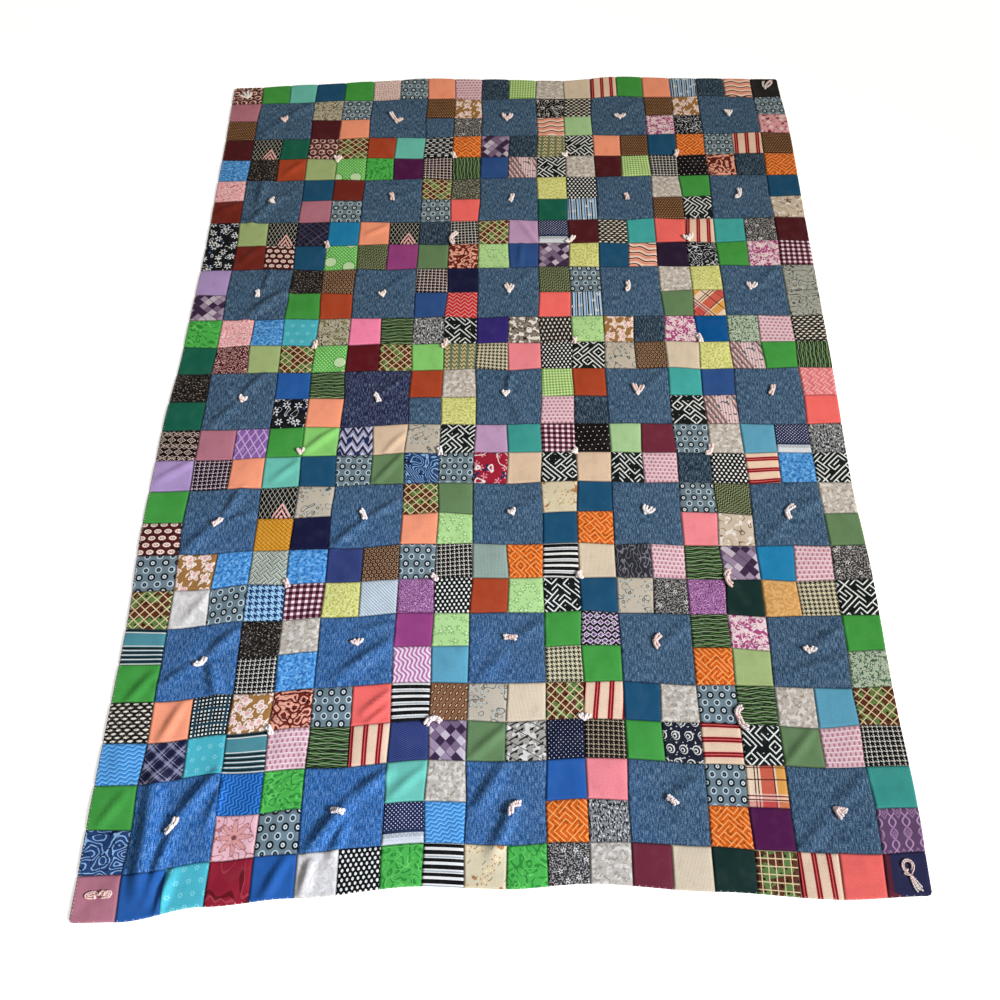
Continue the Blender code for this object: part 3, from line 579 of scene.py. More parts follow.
# Fabrics: code, maker's name, ground colour, and the colours laid over it: (colour, mask of the print).
# The sizes are millimetres on the cloth.
PRINTS = {
    "gk": ("kelly green double knit", "439a41", ()),
    "gd": ("forest green knit", "14604a", ()),
    "gl": ("spring green crepe", "8bd070", ()),
    "gp": ("pale green cotton", "a8cd93", ()),
    "go": ("olive lime knit", "a5b97b", ()),
    "gs": ("sage twill", "66855a", ()),
    "gx": ("bottle green knit", "122e29", ()),
    "aq": ("mint knit", "6cc2b0", ()),
    "tq": ("turquoise knit", "43aaa3", ()),
    "te": ("teal knit", "3d9c92", ()),
    "sk": ("sky blue knit", "5ea2bb", ()),
    "ce": ("cerulean knit", "1d80ae", ()),
    "dt": ("petrol blue knit", "194f70", ()),
    "mb": ("mid blue cotton", "2c5089", ()),
    "rb": ("royal blue knit", "255ca4", ()),
    "cb": ("cobalt knit", "00528f", ()),
    "vi": ("indigo knit", "332672", ()),
    "nv": ("navy knit", "14153a", ()),
    "lv": ("lavender crepe", "b096c8", ()),
    "li": ("lilac cotton", "c29cbf", ()),
    "or": ("orchid knit", "96407d", ()),
    "pl": ("plum knit", "501446", ()),
    "eg": ("aubergine knit", "281730", ()),
    "dp": ("dusty pink knit", "b67584", ()),
    "pk": ("candy pink knit", "ff8cb2", ()),
    "sp": ("salmon pink knit", "f38b92", ()),
    "co": ("coral knit", "f66d66", ()),
    "pe": ("peach knit", "fb9f7b", ()),
    "cp": ("pale peach cotton", "dfc2a4", ()),
    "cr": ("cream rib knit", "e6d5bb", (("c9b596", stripes, 2.6, 0, 0.35),)),
    "ru": ("rust knit", "ad4525", ()),
    "dr": ("dark rust knit", "71261b", ()),
    "ma": ("maroon knit", "4f171c", ()),
    "bu": ("burgundy knit", "6f2838", ()),
    "rd": ("oxblood knit", "5f131b", ()),
    "gy": ("golden crepe", "d29c58", (("e4b271", specks, 7, 0.5),)),
    "bk": ("near black knit", "262420", ()),
    "sg": ("pale sage rib knit", "9cb0a6", (("84998f", stripes, 3.0, 0, 0.4),)),
    "nm": ("navy and maroon knit", "2b2c4f", (
        ("5d2233", part_of, -40, 12, 0), ("6b2a36", part_of, -40, 14, 60))),
    "wh": ("white crinkle cotton", "d6d2cd", (
        ("c8c3bd", squiggle, 22, 5, 0.2, 2.2), ("e2deda", specks, 12, 0.56))),
    "ge": ("bright green embossed knit", "4cb34c", (
        ("2f8c36", squiggle, 20, 4, 0.3), ("6ccb62", squiggle, 20, 4, 0.12, 1, 3.0))),
    "be": ("sky blue cloque", "4f97d8", (("3272b4", specks, 7, 0.53), ("77b6ea", specks, 7, 0.57, 1, 8.0))),
    "bw": ("sky blue blister knit", "4c9cdc", (
        ("2f72b6", waves, 16, 2.2, 8, 0, 0.26, 20), ("8cc6f2", waves, 16, 2.2, 8, 0.4, 0.6, 20))),
    "bt": ("royal blue blister knit", "1f6cbc", (
        ("0d4489", waves, 17, 3, 7.5, 0, 0.34, 65), ("4c92d6", waves, 17, 3, 7.5, 0.5, 0.66, 65))),
    "tt": ("turquoise sprigged cotton", "4cb6c4", (("9be0e4", medallions, 22, 5, 6, 0.4, 2),)),
    "ye": ("pale yellow seersucker", "dcdc86", (
        ("b7b75e", specks, 5, 0.54), ("ececa8", specks, 5, 0.6, 1, 6.0))),
    "cm": ("crimson crepe", "931c30", (
        ("64101a", squiggle, 30, 4, 0.22, 2.5), ("a93a48", squiggle, 30, 4, 0.1, 2.5, 3.0))),
    "fo": ("blue grey foulard", "6f828a", (
        ("0c1518", dots, 22.8, 7.0, 0, 0.5, 0.66, 0.9, 0),
        ("d9e4e6", dots, 22.8, 3.5, 1.3, 0.5, 0.66, 0.9, 0),
        ("bccdd4", dots, 22.8, 6.2, 3.8, 0.5, 0.66, 0.9, 1),
        ("0c1518", dots, 22.8, 3.8, 1.2, 0.5, 0.66, 0.9, 1))),
    "mz": ("black and white maze print", "0d1614", (
        ("f2f5ee", maze, 12.2, 0.15), ("0d1614", tiles, 12.2, 0, 0.84))),
    "om": ("orange maze print", "dd6212", (("b04c0c", specks, 7, 0.56), ("fbab62", maze, 11, 0.14))),
    "la": ("brown diamond lattice print", "5d2f1c", (
        ("5f7f42", specks, 26, 0.52), ("2c1810", dots, 14.5, 2.6, 0, 0, 1),
        ("e6cf9f", lattice, 13.5, 1.9))),
    "lc": ("black lattice print", "060808", (
        ("d0cdbb", lattice, 9, 0.8, 28), ("f3b5ae", chevrons, 50, 44, 15))),
    "ba": ("bark stripe cotton", "26361f", (
        ("5f8a4a", waves, 40, 1.4, 5.0, 0, 0.34), ("10180e", waves, 33, 1.1, 7.7, 0.3, 0.56),
        ("c3d0a8", waves, 47, 1.2, 9.5, 0.62, 0.7))),
    "rs": ("red and cream stripe", "ebceb0", (
        ("f6b8a6", stripes, 27.4, 0, 0.5), ("7c0d16", stripes, 27.4, 0.07, 0.21),
        ("e4605a", stripes, 27.4, 0.21, 0.28), ("7c0d16", stripes, 27.4, 0.28, 0.42))),
    "pw": ("peach wave print", "fab095", (
        ("4e231f", waves, 46, 3.0, 19, 0, 0.2), ("f8e0cb", waves, 46, 3.0, 19, 0.2, 0.46),
        ("b86450", waves, 46, 3.0, 19, 0.7, 0.78))),
    "bs": ("blue stripe with daisies", "d3dde0", (
        ("3f7fb8", stripes, 13, 0, 0.26), ("101418", stripes, 13, 0.4, 0.68),
        ("7cb2dc", stripes, 13, 0.8, 0.9), ("f2f2ee", blooms, 30, 6, 7, 0.4), ("2a2a2a", blobs, 30, 1.6))),
    "ws": ("white and black stripe", "eceae4", (
        ("0b0b0c", stripes, 25.4, 0, 0.3, 90), ("0b0b0c", stripes, 25.4, 0.5, 0.74, 90),
        ("a8aeb0", stripes, 25.4, 0.8, 0.9, 90))),
    "ts": ("teal and white stripe", "22505a", (
        ("dcdfd9", stripes, 9.5, 0, 0.24, 90), ("14181a", stripes, 9.5, 0.42, 0.74, 90),
        ("4e8d96", part_of, 40, 66))),
    "hb": ("black houndstooth", "0e0e10", (("e2ddd2", houndstooth, 9.2, 0.26),)),
    "hc": ("cream and olive houndstooth", "2a2c22", (("ded5b2", houndstooth, 9.5, 0.48),)),
    "hk": ("brown houndstooth", "120e0c", (("c0ae92", houndstooth, 9.2, 0.24),)),
    "hl": ("blue houndstooth", "15366a", (("a5d3f0", houndstooth, 12.7),)),
    "hn": ("navy check", "120d18", (("e0c8d2", houndstooth, 9.5, 0.24),)),
    "ck": ("fine brown check", "1b1114", (("e6d3cb", houndstooth, 9.2, 0.27),)),
    "mg": ("plum and white gingham", "2c0c18", (
        ("8a4f60", panes, 12.7, 0.46), ("f8e8ec", crossings, 12.7, 0.46))),
    "lg": ("lime gingham", "dbedaa", (("5f9e2e", gingham, 7.4, 0.5),)),
    "gw": ("green and white pane check", "e8efe9", (
        ("0d1718", panes, 7.2, 0.52), ("1d3a48", panes, 28.8, 0.18))),
    "pd": ("black pin dot", "120c0c", (("e0d6d0", dots, 13, 1.2, 0, 0.5, 0.9),)),
    "nd": ("navy pin dot", "0f1630", (("dfe3ea", dots, 9.5, 0.85, 0, 0.5, 0.5),)),
    "nb": ("navy and white banded pin dot", "1c2450", (
        ("d9dde2", part_of, 0, 20), ("aeb4ba", part_of, 12, 22), ("e6e8ea", dots, 8.0, 1.05, 0, 0.5, 0.5),
        ("23304e", part_of, 20, 26))),
    "ov": ("black oval spot", "0b0c0d", (("f0f1ea", dots, 9.8, 2.3, 0, 0.5, 0.8, 0.8),)),
    "da": ("black dash print", "14100d", (
        ("eee6d4", leaves, 15, 10, 4.2, 5, 0.46), ("6f655a", specks, 3.2, 0.62))),
    "bl": ("black drop print", "0e0a09", (
        ("ece4d4", leaves, 10, 8.5, 4.4, 90, 1.1), ("6f655c", specks, 3, 0.62))),
    "bb": ("black and white bar check", "111214", (
        ("e4e6e2", chequer, 9.5), ("111214", stripes, 6.35, 0, 0.5, 90))),
    "gb": ("green dotted print", "5cbc48", (
        ("d9eec9", dots, 8.4, 1.5, 0, 0.5, 0.6), ("3a8c30", blobs, 60, 15.5, 0.6),
        ("c6e4b0", blobs, 60, 13.6, 0.6))),
    "pq": ("lilac parquet print", "79647e", (
        ("3a2642", tiles, 15, 45, 0.5), ("a08ca2", tiles, 15, 45, 0.62, 3.0),
        ("c9bcc6", tiles, 15, 45, 0.86, 6.0), ("4f3c56", stripes, 15, 0, 0.08, 45))),
    "kh": ("khaki ikat stripe", "aea371", (
        ("4f4626", zigzag, 9, 7, 12, 0, 0.3), ("e4dcae", zigzag, 9, 7, 12, 0.45, 0.62),
        ("6a7a60", stripes, 19, 0, 0.3))),
    "rz": ("red zigzag knit", "cc2f33", (("f3c8bd", zigzag, 19, 10, 11, 0, 0.15),)),
    "ol": ("olive rope print", "5a6840", (
        ("12160e", waves, 15, 4, 6.5, 0, 0.42, 40), ("b3b78c", waves, 15, 4, 6.5, 0.56, 0.72, 40))),
    "gt": ("grey tweed", "8c8c8c", (
        ("202328", specks, 3.4, 0.52, 2.0), ("e2e2e0", specks, 3.4, 0.62, 2.0, 9.0))),
    "ds": ("pale blue fine twill stripe", "d0dae0", (("8fa6b6", stripes, 4.8, 0, 0.34, 45),)),
    "ks": ("charcoal speckle with flowers", "2c2a2b", (
        ("a19e9a", specks, 3.4, 0.55), ("dedad4", specks, 3.4, 0.66, 1, 5.0),
        ("f4f0ea", blooms, 36, 5, 5, 0.4), ("6a4a3a", blobs, 36, 1.5, 0.9))),
    "kb": ("black brown fleck", "131010", (
        ("a09585", specks, 3.8, 0.63), ("4b3f37", specks, 3.8, 0.6, 1, 4.0))),
    "gz": ("grey green fleck", "514f40", (
        ("a8a890", specks, 3.8, 0.56), ("1f2019", specks, 3.8, 0.58, 1, 4.0))),
    "mv": ("maroon vermicelli print", "541620", (("e0b8ae", squiggle, 9, 5, 0.26),)),
    "pu": ("purple vermicelli print", "7c3a78", (("d3a6ce", squiggle, 7, 6, 0.3),)),
    "pv": ("pink vermicelli print", "f8aaad", (
        ("f8dcda", squiggle, 13, 5, 0.4), ("a84e5a", squiggle, 13, 5, 0.12, 1, 4.0))),
    "pz": ("pink wave print", "dcb6c8", (
        ("b362a2", waves, 26, 3.5, 9, 0, 0.34, 100), ("f5e6ec", waves, 26, 3.5, 9, 0.55, 0.84, 100))),
    "px": ("pink parquet line print", "ee8385", (
        ("f8c3bd", basket, 15, 0.3), ("cf5f66", lattice, 15, 1.2))),
    "pb": ("pink basket cloque", "e0bcc2", (
        ("b97c8a", leaves, 9.5, 9, 4.6, 90, 1.0), ("f2dadd", stripes, 9.5, 0.02, 0.2, 90))),
    "pf": ("pale pink medallion print", "e4c8bf", (
        ("b48c80", medallions, 25, 11, 8, 0.2, 7), ("f3e0d8", medallions, 25, 7, 6, 0.3, 3),
        ("97705f", dots, 25, 2.4))),
    "bn": ("brown leaf print", "3b2115", (
        ("a67f55", dots, 6.6, 1.7, 0, 0.5, 0.9), ("6a4428", dots, 6.6, 2.9, 2.1, 0.5, 0.9))),
    "rg": ("brown ring print", "3c2417", (
        ("c0a07a", dots, 9.8, 3.2, 2.1, 0.5, 0.8), ("8a4a35", dots, 9.2, 1.2, 0, 0.5, 0.8))),
    "tn": ("tan print with pink hearts", "a27440", (
        ("f5e3d8", blooms, 27, 13.5, 4, 0.25), ("c98a68", blooms, 27, 10.5, 4, 0.3, 8.0),
        ("e9b3ac", blobs, 27, 4.5), ("f6e8da", leaves, 19, 13, 3.4, 60))),
    "cs": ("cream print with dark squiggles", "bdb69c", (
        ("26261e", squiggle, 13, 5, 0.22), ("7f7a52", specks, 12, 0.6))),
    "bp": ("black and white paisley", "0c0b0c", (
        ("cfc9c1", squiggle, 11, 4, 0.15), ("dcd6ce", drops, 26, 6.0, 0.62))),
    "bg": ("black and grey swirl", "0f1013", (("d2d4d6", squiggle, 12, 4, 0.2),)),
    "mp": ("maroon feather print", "3c1518", (
        ("e9c8b8", drops, 22, 10.5, 0.62), ("a86c64", squiggle, 12, 4, 0.22))),
    "rl": ("rust and peach leaf print", "f2ab92", (
        ("6d2418", squiggle, 16, 4, 0.5), ("2b0c0a", squiggle, 16, 4, 0.12, 1, 3.0))),
    "dl": ("maroon print with cream drops", "55191c", (
        ("2a0c0e", squiggle, 14, 4, 0.3), ("f3dccb", dots, 19, 6.9, 0, 0.5, 0.85, 1.3),
        ("7d2f2e", dots, 19, 3.6, 0, 0.5, 0.85, 1.5), ("f6e6da", dots, 19, 1.7, 0, 0.5, 0.85))),
    "sw": ("navy contour print", "22406f", (
        ("8fb6dc", squiggle, 34, 15, 0.28), ("101c38", squiggle, 34, 5, 0.1, 1, 2.0))),
    "nz": ("lavender and navy zigzag", "9c9cbc", (
        ("121936", zigzag, 24, 22, 26, 0, 0.34), ("e2deea", zigzag, 24, 22, 26, 0.5, 0.66),
        ("1b2a52", leaves, 38, 20, 12, 80, 1))),
    "bm": ("brown tile print", "1a0808", (
        ("b9a094", diamonds, 19, 0.46, 0.8, 0.37), ("b99d90", diamonds, 19, 0.2, 0.8, 0.1),
        ("ecd9cb", diamonds, 19, 0.46, 0.8, 0.37, 0.0))),
    "ld": ("purple diamond knit", "8c62a8", (
        ("d5b5e0", lattice, 17, 2.4, 32), ("c39fd4", diamonds, 20, 0.2, 1.5, 0.12))),
    "oo": ("orchid ogee print", "64486a", (
        ("bb93b8", ogee, 25, 38, 1.5), ("9a759c", diamonds, 25, 0.34, 1.5, 0.24, 0.5),
        ("9a759c", diamonds, 25, 0.16, 1.5, 0.06, 0.5))),
    "mu": ("mustard basket crepe", "cc8010", (
        ("eeb443", basket, 6.8, 0.5), ("8f5706", lattice, 6.8, 1.0))),
    "gm": ("grey sage maze stripe", "a9b2a4", (
        ("4c5851", basket, 16, 0.42), ("e0e4da", basket, 16, 0.18))),
    "cc": ("charcoal cable knit", "2c2d34", (("7d7a83", squiggle, 9, 4, 0.22, 2.4),)),
    "tl": ("tan and black leaf rows", "8a5f42", (
        ("0f0906", leaves, 12.7, 13, 6.4, 60), ("dcb48c", leaves, 12.7, 8, 2.8, 60))),
    "gg": ("grey key print", "a39e94", (
        ("161514", keys, 19, 0.09), ("dcd8d0", specks, 14, 0.56), ("3f3a36", stripes, 25, 0.46, 0.52, 60))),
    "pa": ("navy paisley", "171c2c", (
        ("e4e2da", drops, 26, 10.5, 0.8), ("e4e2da", drops, 26, 5.2, 0.62), ("d9d7d0", specks, 6, 0.66))),
    "ar": ("purple argyle", "1f0f26", (
        ("e4dbe2", diamonds, 14, 0.5, 1, 0.34, 0.5), ("7e4a90", diamonds, 14, 0.3, 1, 0.1, 0.5),
        ("e9dff0", specks, 5, 0.66))),
    "np": ("navy slant plaid", "23264a",
           slanted(26, ("a9aac6", 0, 0.2), ("d5d3e0", 0.34, 0.38), ("0f1026", 0.6, 0.84))),
    "dx": ("dark purple slant plaid", "1c1620", slanted(24, ("615a7c", 0, 0.1), ("3a3f66", 0.4, 0.6))),
    "op": ("orange plaid", "f0d8ba", (
        ("d0604a", stripes, 76.2, 0.36, 0.68), ("e3a452", stripes, 76.2, 0.75, 1),
        ("541c12", stripes, 76.2, 0.2, 0.23), ("541c12", stripes, 76.2, 0.28, 0.31),
        ("541c12", stripes, 76.2, 0.68, 0.71), ("c4304a", half, stripes, 76.2, 0, 0.14, 90),
        ("fbd8c8", half, stripes, 76.2, 0.14, 0.32, 90), ("6a1414", stripes, 76.2, 0.16, 0.19, 90),
        ("6a1414", stripes, 76.2, 0.25, 0.28, 90), ("541c12", stripes, 76.2, 0.64, 0.67, 90),
        ("541c12", stripes, 76.2, 0.93, 0.95, 90))),
    "gr": ("grey and pink mixed print", "9f8c86", (
        ("e4d4cd", stripes, 11, 0, 0.4, 30), ("4f4240", stripes, 11, 0.5, 0.66, 30),
        ("ecd6d4", part_of, 46, 80, 20), ("9a2f44", half, stripes, 6.5, 0, 0.5),
        ("4d5c62", specks, 10, 0.62))),
    "bx": ("beige mixed print", "8e8276", (("1f1d1c", squiggle, 15, 4, 0.2), ("ece7da", specks, 12, 0.56))),
    "fw": ("off-white print with faint flowers", "c3baae", (
        ("a39b8e", specks, 8, 0.56, 1, 0.0, 3.0), ("ddd7cc", specks, 10, 0.55, 1, 9.0, 3.0),
        ("9a8a68", leaves, 31, 12, 2.0, 50))),
    "fb": ("beige print with small marks", "d2c0a9", (
        ("7d6350", squiggle, 26, 4, 0.1), ("efe6da", specks, 15, 0.58, 1, 0.0, 2.0))),
    "fl": ("beige outline flower print", "c4b9a6", (
        ("3c4a52", blooms, 32, 13, 5, 0.35), ("c3c2b6", blooms, 32, 11.4, 5, 0.36),
        ("3c4a52", blobs, 32, 3.6), ("c9a26a", blobs, 32, 2.2), ("4c5a62", squiggle, 26, 3, 0.08))),
    "fx": ("grey green outline flower print", "a8a99c", (
        ("2c3330", blooms, 26, 10.5, 5, 0.35), ("b9bbae", blooms, 26, 8.8, 5, 0.36),
        ("363d38", squiggle, 18, 4, 0.15))),
    "fy": ("cream print with tan flowers", "dccdab", (
        ("b98444", blooms, 30, 9, 5, 0.4), ("ecdcb4", blooms, 30, 6.5, 5, 0.4),
        ("8f9a6a", leaves, 27, 12, 2.4, 55), ("b07a4a", specks, 20, 0.68))),
    "fm": ("mint sprig print", "b4dc94", (
        ("7fae62", blooms, 21, 7.5, 5, 0.45), ("d2ecba", blobs, 21, 2.6),
        ("8dba72", leaves, 17, 9, 2.6, -40))),
    "fg": ("white print with green flowers", "b4c2a8", (
        ("123020", blooms, 10.5, 4.3, 5, 0.4), ("eef2e6", blobs, 10.5, 1.3), ("3f6a46", specks, 6, 0.58))),
    "fp": ("white print with orchid flowers", "e8cccc", (
        ("b04a7c", specks, 15, 0.49, 1, 0.0, 2.0), ("f1dfe2", squiggle, 12, 4, 0.24),
        ("7d3a70", squiggle, 15, 3, 0.08, 1, 7.0))),
    "fr": ("pink plum sprig print", "e3a5a6", (
        ("7b2c48", specks, 13, 0.6, 1, 0.0, 2.0), ("b9607a", leaves, 23, 14, 4.4, 60),
        ("f3cfcd", blobs, 27, 6))),
    "fn": ("navy and white flower print", "0c1016", (
        ("eef0f0", blooms, 26, 9.5, 6, 0.4, 3), ("46608c", specks, 9, 0.68),
        ("eef0f0", squiggle, 20, 3, 0.07))),
    "pi": ("pink print with a large flower", "eab9c0", (
        ("9c5f58", medallions, 76.2, 33, 8, 0.3, 0, 0), ("dc9c98", medallions, 76.2, 30.5, 8, 0.34, 0, 0),
        ("b9777a", squiggle, 24, 5, 0.14), ("7d4640", dots, 76.2, 4.5, 0, 0))),
    "rf": ("red flower print", "a01c32", (
        ("e9a3ae", blooms, 24, 8, 5, 0.4), ("b73a55", blobs, 24, 3), ("1f2a52", blooms, 44, 11, 3, 0.4),
        ("f3e6e0", squiggle, 34, 2.4, 0.09))),
    "db": ("small denim square", "3c5b78", ()),
    "dk": ("dark denim square", "1f3344", ()),
    "di": ("dark indigo cotton", "3d4c88", (("232e5c", stripes, 3.4, 0, 0.5, 60),)),
    "##": ("washed denim", "3c5b78", ()),
    "#d": ("dark indigo denim", "262650", ()),
}
DENIMS = ("db", "dk", "##", "#d")
PLACED = ("nm", "nb", "ts", "gr", "pi", "lc", "op")     # prints set from the square's own near left corner
DYE_PATCH = 26                # mm across the patches of uneven dye
GRAIN = 1.7                   # mm: thread grain, about three times as coarse as real threads so that it shows
CLOTH_SPECULAR = 0.14


def lay_denim(fabric):
    """Washed denim: pale weft slubs across dark warp streaks, with painted light that makes it brighter and
    bluer towards the near left corner.
    """
    # painted light: a brighter, bluer denim laid as far as the bright value reaches
    fabric.lay("2c6cb2", add(fabric.tree, "Attribute", {"attribute_name": "bright"}).outputs["Fac"])
    # warp threads lie about 0.6 mm apart; drawn nearly three times as coarse so that they show
    warp = fabric.mottle(1.6, 8.0, 1.0, 31.0)
    weft = fabric.mottle(5.0, 0.3, 1.0, 37.0)
    cross = warp * 0.62 + weft * 0.38
    fabric.lay("0b1722", ((cross * -1.0 + 0.5) * 7.0 | 0.0) & 0.55)
    fabric.lay("a9c6da", ((cross - 0.52) * 5.0 | 0.0) & 0.28)


def new_fabric(code):
    """A woven or knitted cloth in its print, with a fine grain, uneven dye and painted shade along its seams,
    where the cloth dips.
    """
    name, ground, layers = PRINTS[code]
    look = bpy.context.scene.quilt_look
    fabric = Fabric(name.replace(" ", "_"), ground)
    denim = code in DENIMS
    if denim:
        lay_denim(fabric)
    for colour, pattern, *sizes in layers:
        fabric.lay(colour, pattern(fabric, *sizes))
    tone = fabric.mottle(DYE_PATCH, 1.3, 3.0, 7.0)
    fabric.lay("000000", (tone * -1.0 + 0.5 | 0.0) * look.unevenness)
    fabric.lay("ffffff", (tone - 0.5 | 0.0) * (look.unevenness * 0.1))
    grain_stretch, grain_depth = (2.4, 1.1) if denim else (1.3, 0.7)
    grain = fabric.mottle(GRAIN, grain_stretch, 1.0, 21.0)
    fabric.lay("000000", ((grain - 0.42) * grain_depth | 0.0))
    # painted shade: the cloth is painted darker where it dips into a seam, within seam_shade_width mm of it
    seam = Reading(fabric.tree, add(fabric.tree, "Attribute", {"attribute_name": "seam"}).outputs["Fac"])
    near = (seam * (-1 / look.seam_shade_width) + 1.0) | 0.0
    fabric.lay("0c0b0d", near * look.seam_shade)
    bump = add(fabric.tree, "Bump", {}, {"Strength": 0.6, "Distance": 0.4 * MM, "Height": grain})
    fabric.tree.links.new(bump.outputs[0], fabric.shader.inputs["Normal"])
    fabric.tree.links.new(fabric.colour, fabric.shader.inputs["Base Color"])
    fabric.shader.inputs["Roughness"].default_value = look.roughness
    fabric.shader.inputs["Specular IOR Level"].default_value = CLOTH_SPECULAR
    return fabric.material


# ---------------------------------------------------------------- the shape in which the quilt lies

def between(table, at):
    """The value of a two-column table at places between its rows, eased from row to row."""
    places, values = np.array(table, float).T
    low = np.clip(np.searchsorted(places, at, side="right") - 1, 0, len(places) - 2)
    share = np.clip((at - places[low]) / (places[low + 1] - places[low]), 0, 1)
    return values[low] + (values[low + 1] - values[low]) * share * share * (3 - 2 * share)


def fading(distance, reach):
    """1 at a rim and 0 from reach squares inwards."""
    return np.maximum(0.0, 1 - distance / reach) ** 2


def corner_shift(across, down, size, seed):
    """How far the squares' corners miss their places, in mm, easing from corner to corner."""
    chance = np.random.RandomState(seed)
    table = chance.normal(0, size, (ACROSS + 2, DOWN + 2)).clip(-2 * size, 2 * size)
    table[0, :] = table[ACROSS:, :] = table[:, 0] = table[:, DOWN:] = 0
    a, d = np.floor(across).astype(int), np.floor(down).astype(int)
    u, v = across - a, down - d
    u, v = u * u * (3 - 2 * u), v * v * (3 - 2 * v)
    return ((table[a, d] * (1 - u) + table[a + 1, d] * u) * (1 - v)
            + (table[a, d + 1] * (1 - u) + table[a + 1, d + 1] * u) * v)


def corner_draw(from_rim, from_end, radius):
    """How far a rounded corner is drawn in from one of its rims, in mm."""
    share, fade = np.clip(1 - from_end / radius, 0, 1), np.clip(1 - from_rim / radius, 0, 1)
    return radius * (1 - np.cos(math.pi / 4 * share)) * fade


def on_surface(across, down):
    """Where places on the quilt lie, seen from above, in metres."""
    size = bpy.context.scene.quilt_sizes
    left, right = fading(across, SIDE_REACH), fading(ACROSS - across, SIDE_REACH)
    far, near = fading(down, FAR_REACH), np.maximum(0.0, 1 - (DOWN - down) / NEAR_REACH) ** 1.5
    aside = (between(SEAMS_ACROSS, across) * (1 - left) * (1 - right)
             + between(LEFT_RIM, down) * left + between(RIGHT_RIM, down) * right)
    along = (between(SEAMS_DOWN, down) * (1 - far) * (1 - near)
             + between(FAR_RIM, across) * far + between(NEAR_RIM, across) * near)
    aside = aside + corner_shift(across, down, size.seam_stray / MM, 3)
    along = along + corner_shift(across, down, size.seam_stray / MM, 4)
    beside = np.minimum(across, ACROSS - across) * size.square / MM
    above = np.minimum(down, DOWN - down) * size.square / MM
    aside = aside + np.sign(ACROSS / 2 - across) * corner_draw(beside, above, size.corner_round / MM)
    along = along - np.sign(DOWN / 2 - down) * corner_draw(above, beside, size.corner_round / MM)
    return ((across - ACROSS / 2) * size.square + aside * MM, (DOWN / 2 - down) * size.square + along * MM)


def fold_height(across, down):
    """How far the folds lift the cloth, in mm."""
    lift = np.zeros(np.broadcast(across, down).shape)
    square = bpy.context.scene.quilt_sizes.square / MM
    tall = bpy.context.scene.quilt_sizes.fold_share
    for across_1, down_1, across_2, down_2, height, half_width in FOLDS:
        run, fall = across_2 - across_1, down_2 - down_1
        share = ((across - across_1) * run + (down - down_1) * fall) / (run * run + fall * fall)
        held = np.clip(share, 0, 1)
        away = np.hypot(across - across_1 - held * run, down - down_1 - held * fall) * square
        crown = np.cos(math.pi / 2 * np.minimum(away / half_width, 1)) ** 2
        lift = np.maximum(lift, tall * height * crown * (FOLD_END + (1 - FOLD_END) * np.sin(math.pi * held)))
    return lift


def seam_distance(across, down):
    """How far places lie from the nearest seam line across the quilt and down it, in mm, with signs."""
    square = bpy.context.scene.quilt_sizes.square / MM
    column, row = np.rint(across), np.rint(down)
    outside_column, outside_row = (column == 0) | (column == ACROSS), (row == 0) | (row == DOWN)
    in_block_row = np.isin(np.floor(np.minimum(down, DOWN - 1e-6)) % BLOCK_EVERY, (1, 2))
    in_block_column = np.isin(np.floor(np.minimum(across, ACROSS - 1e-6)) % BLOCK_EVERY, (1, 2))
    no_seam_beside = (column % BLOCK_EVERY == 2) & in_block_row | outside_column
    no_seam_above = (row % BLOCK_EVERY == 2) & in_block_column | outside_row
    return (np.where(no_seam_beside, 1.0, across - column) * square,
            np.where(no_seam_above, 1.0, down - row) * square)


def sway_and_drag(across, down):
    """The broad unevenness of the cloth, and the drag lines from the upper right to the lower left, in mm."""
    square = bpy.context.scene.quilt_sizes.square / MM
    x, y = across * square, down * square
    sway = (0.9 * np.sin(x / 41 + 1.1) * np.sin(y / 57 + 0.4) + 0.5 * np.sin((x + y) / 29 + 2.0)
            + 0.35 * np.sin((x - 1.4 * y) / 19))
    # the cloth is slackest towards the near left corner
    slack = np.clip((down - 6) / 20, 0, 1) * np.clip((15 - across) / 13, 0.15, 1)
    lines = np.sin((x * 0.86 + y * 0.5) / 12.5 + 1.6 * np.sin(y / 83) + 1.2 * np.sin(x / 61))
    return sway + slack * (1.1 * lines * np.sin((y - x) / 47 + 0.7) ** 2)


def tie_pull(across, down):
    """How the ties draw the cloth down, with small creases round each, in mm."""
    size = bpy.context.scene.quilt_sizes
    pull = np.zeros(np.broadcast(across, down).shape)
    for _, tie_across, tie_down, *_ in TIES:
        dx, dy = (across - tie_across) * size.square / MM, (down - tie_down) * size.square / MM
        away = np.hypot(dx, dy)
        dent = np.exp(-(away / TIE_REACH) ** 2)
        pull -= size.tie_dent / MM * dent
        spokes = np.cos(SPOKES * np.arctan2(dy, dx) + tie_across * 3 + tie_down)
        pull += 0.7 * spokes * np.exp(-(away / SPOKE_REACH) ** 2) * (1 - dent)
    return pull


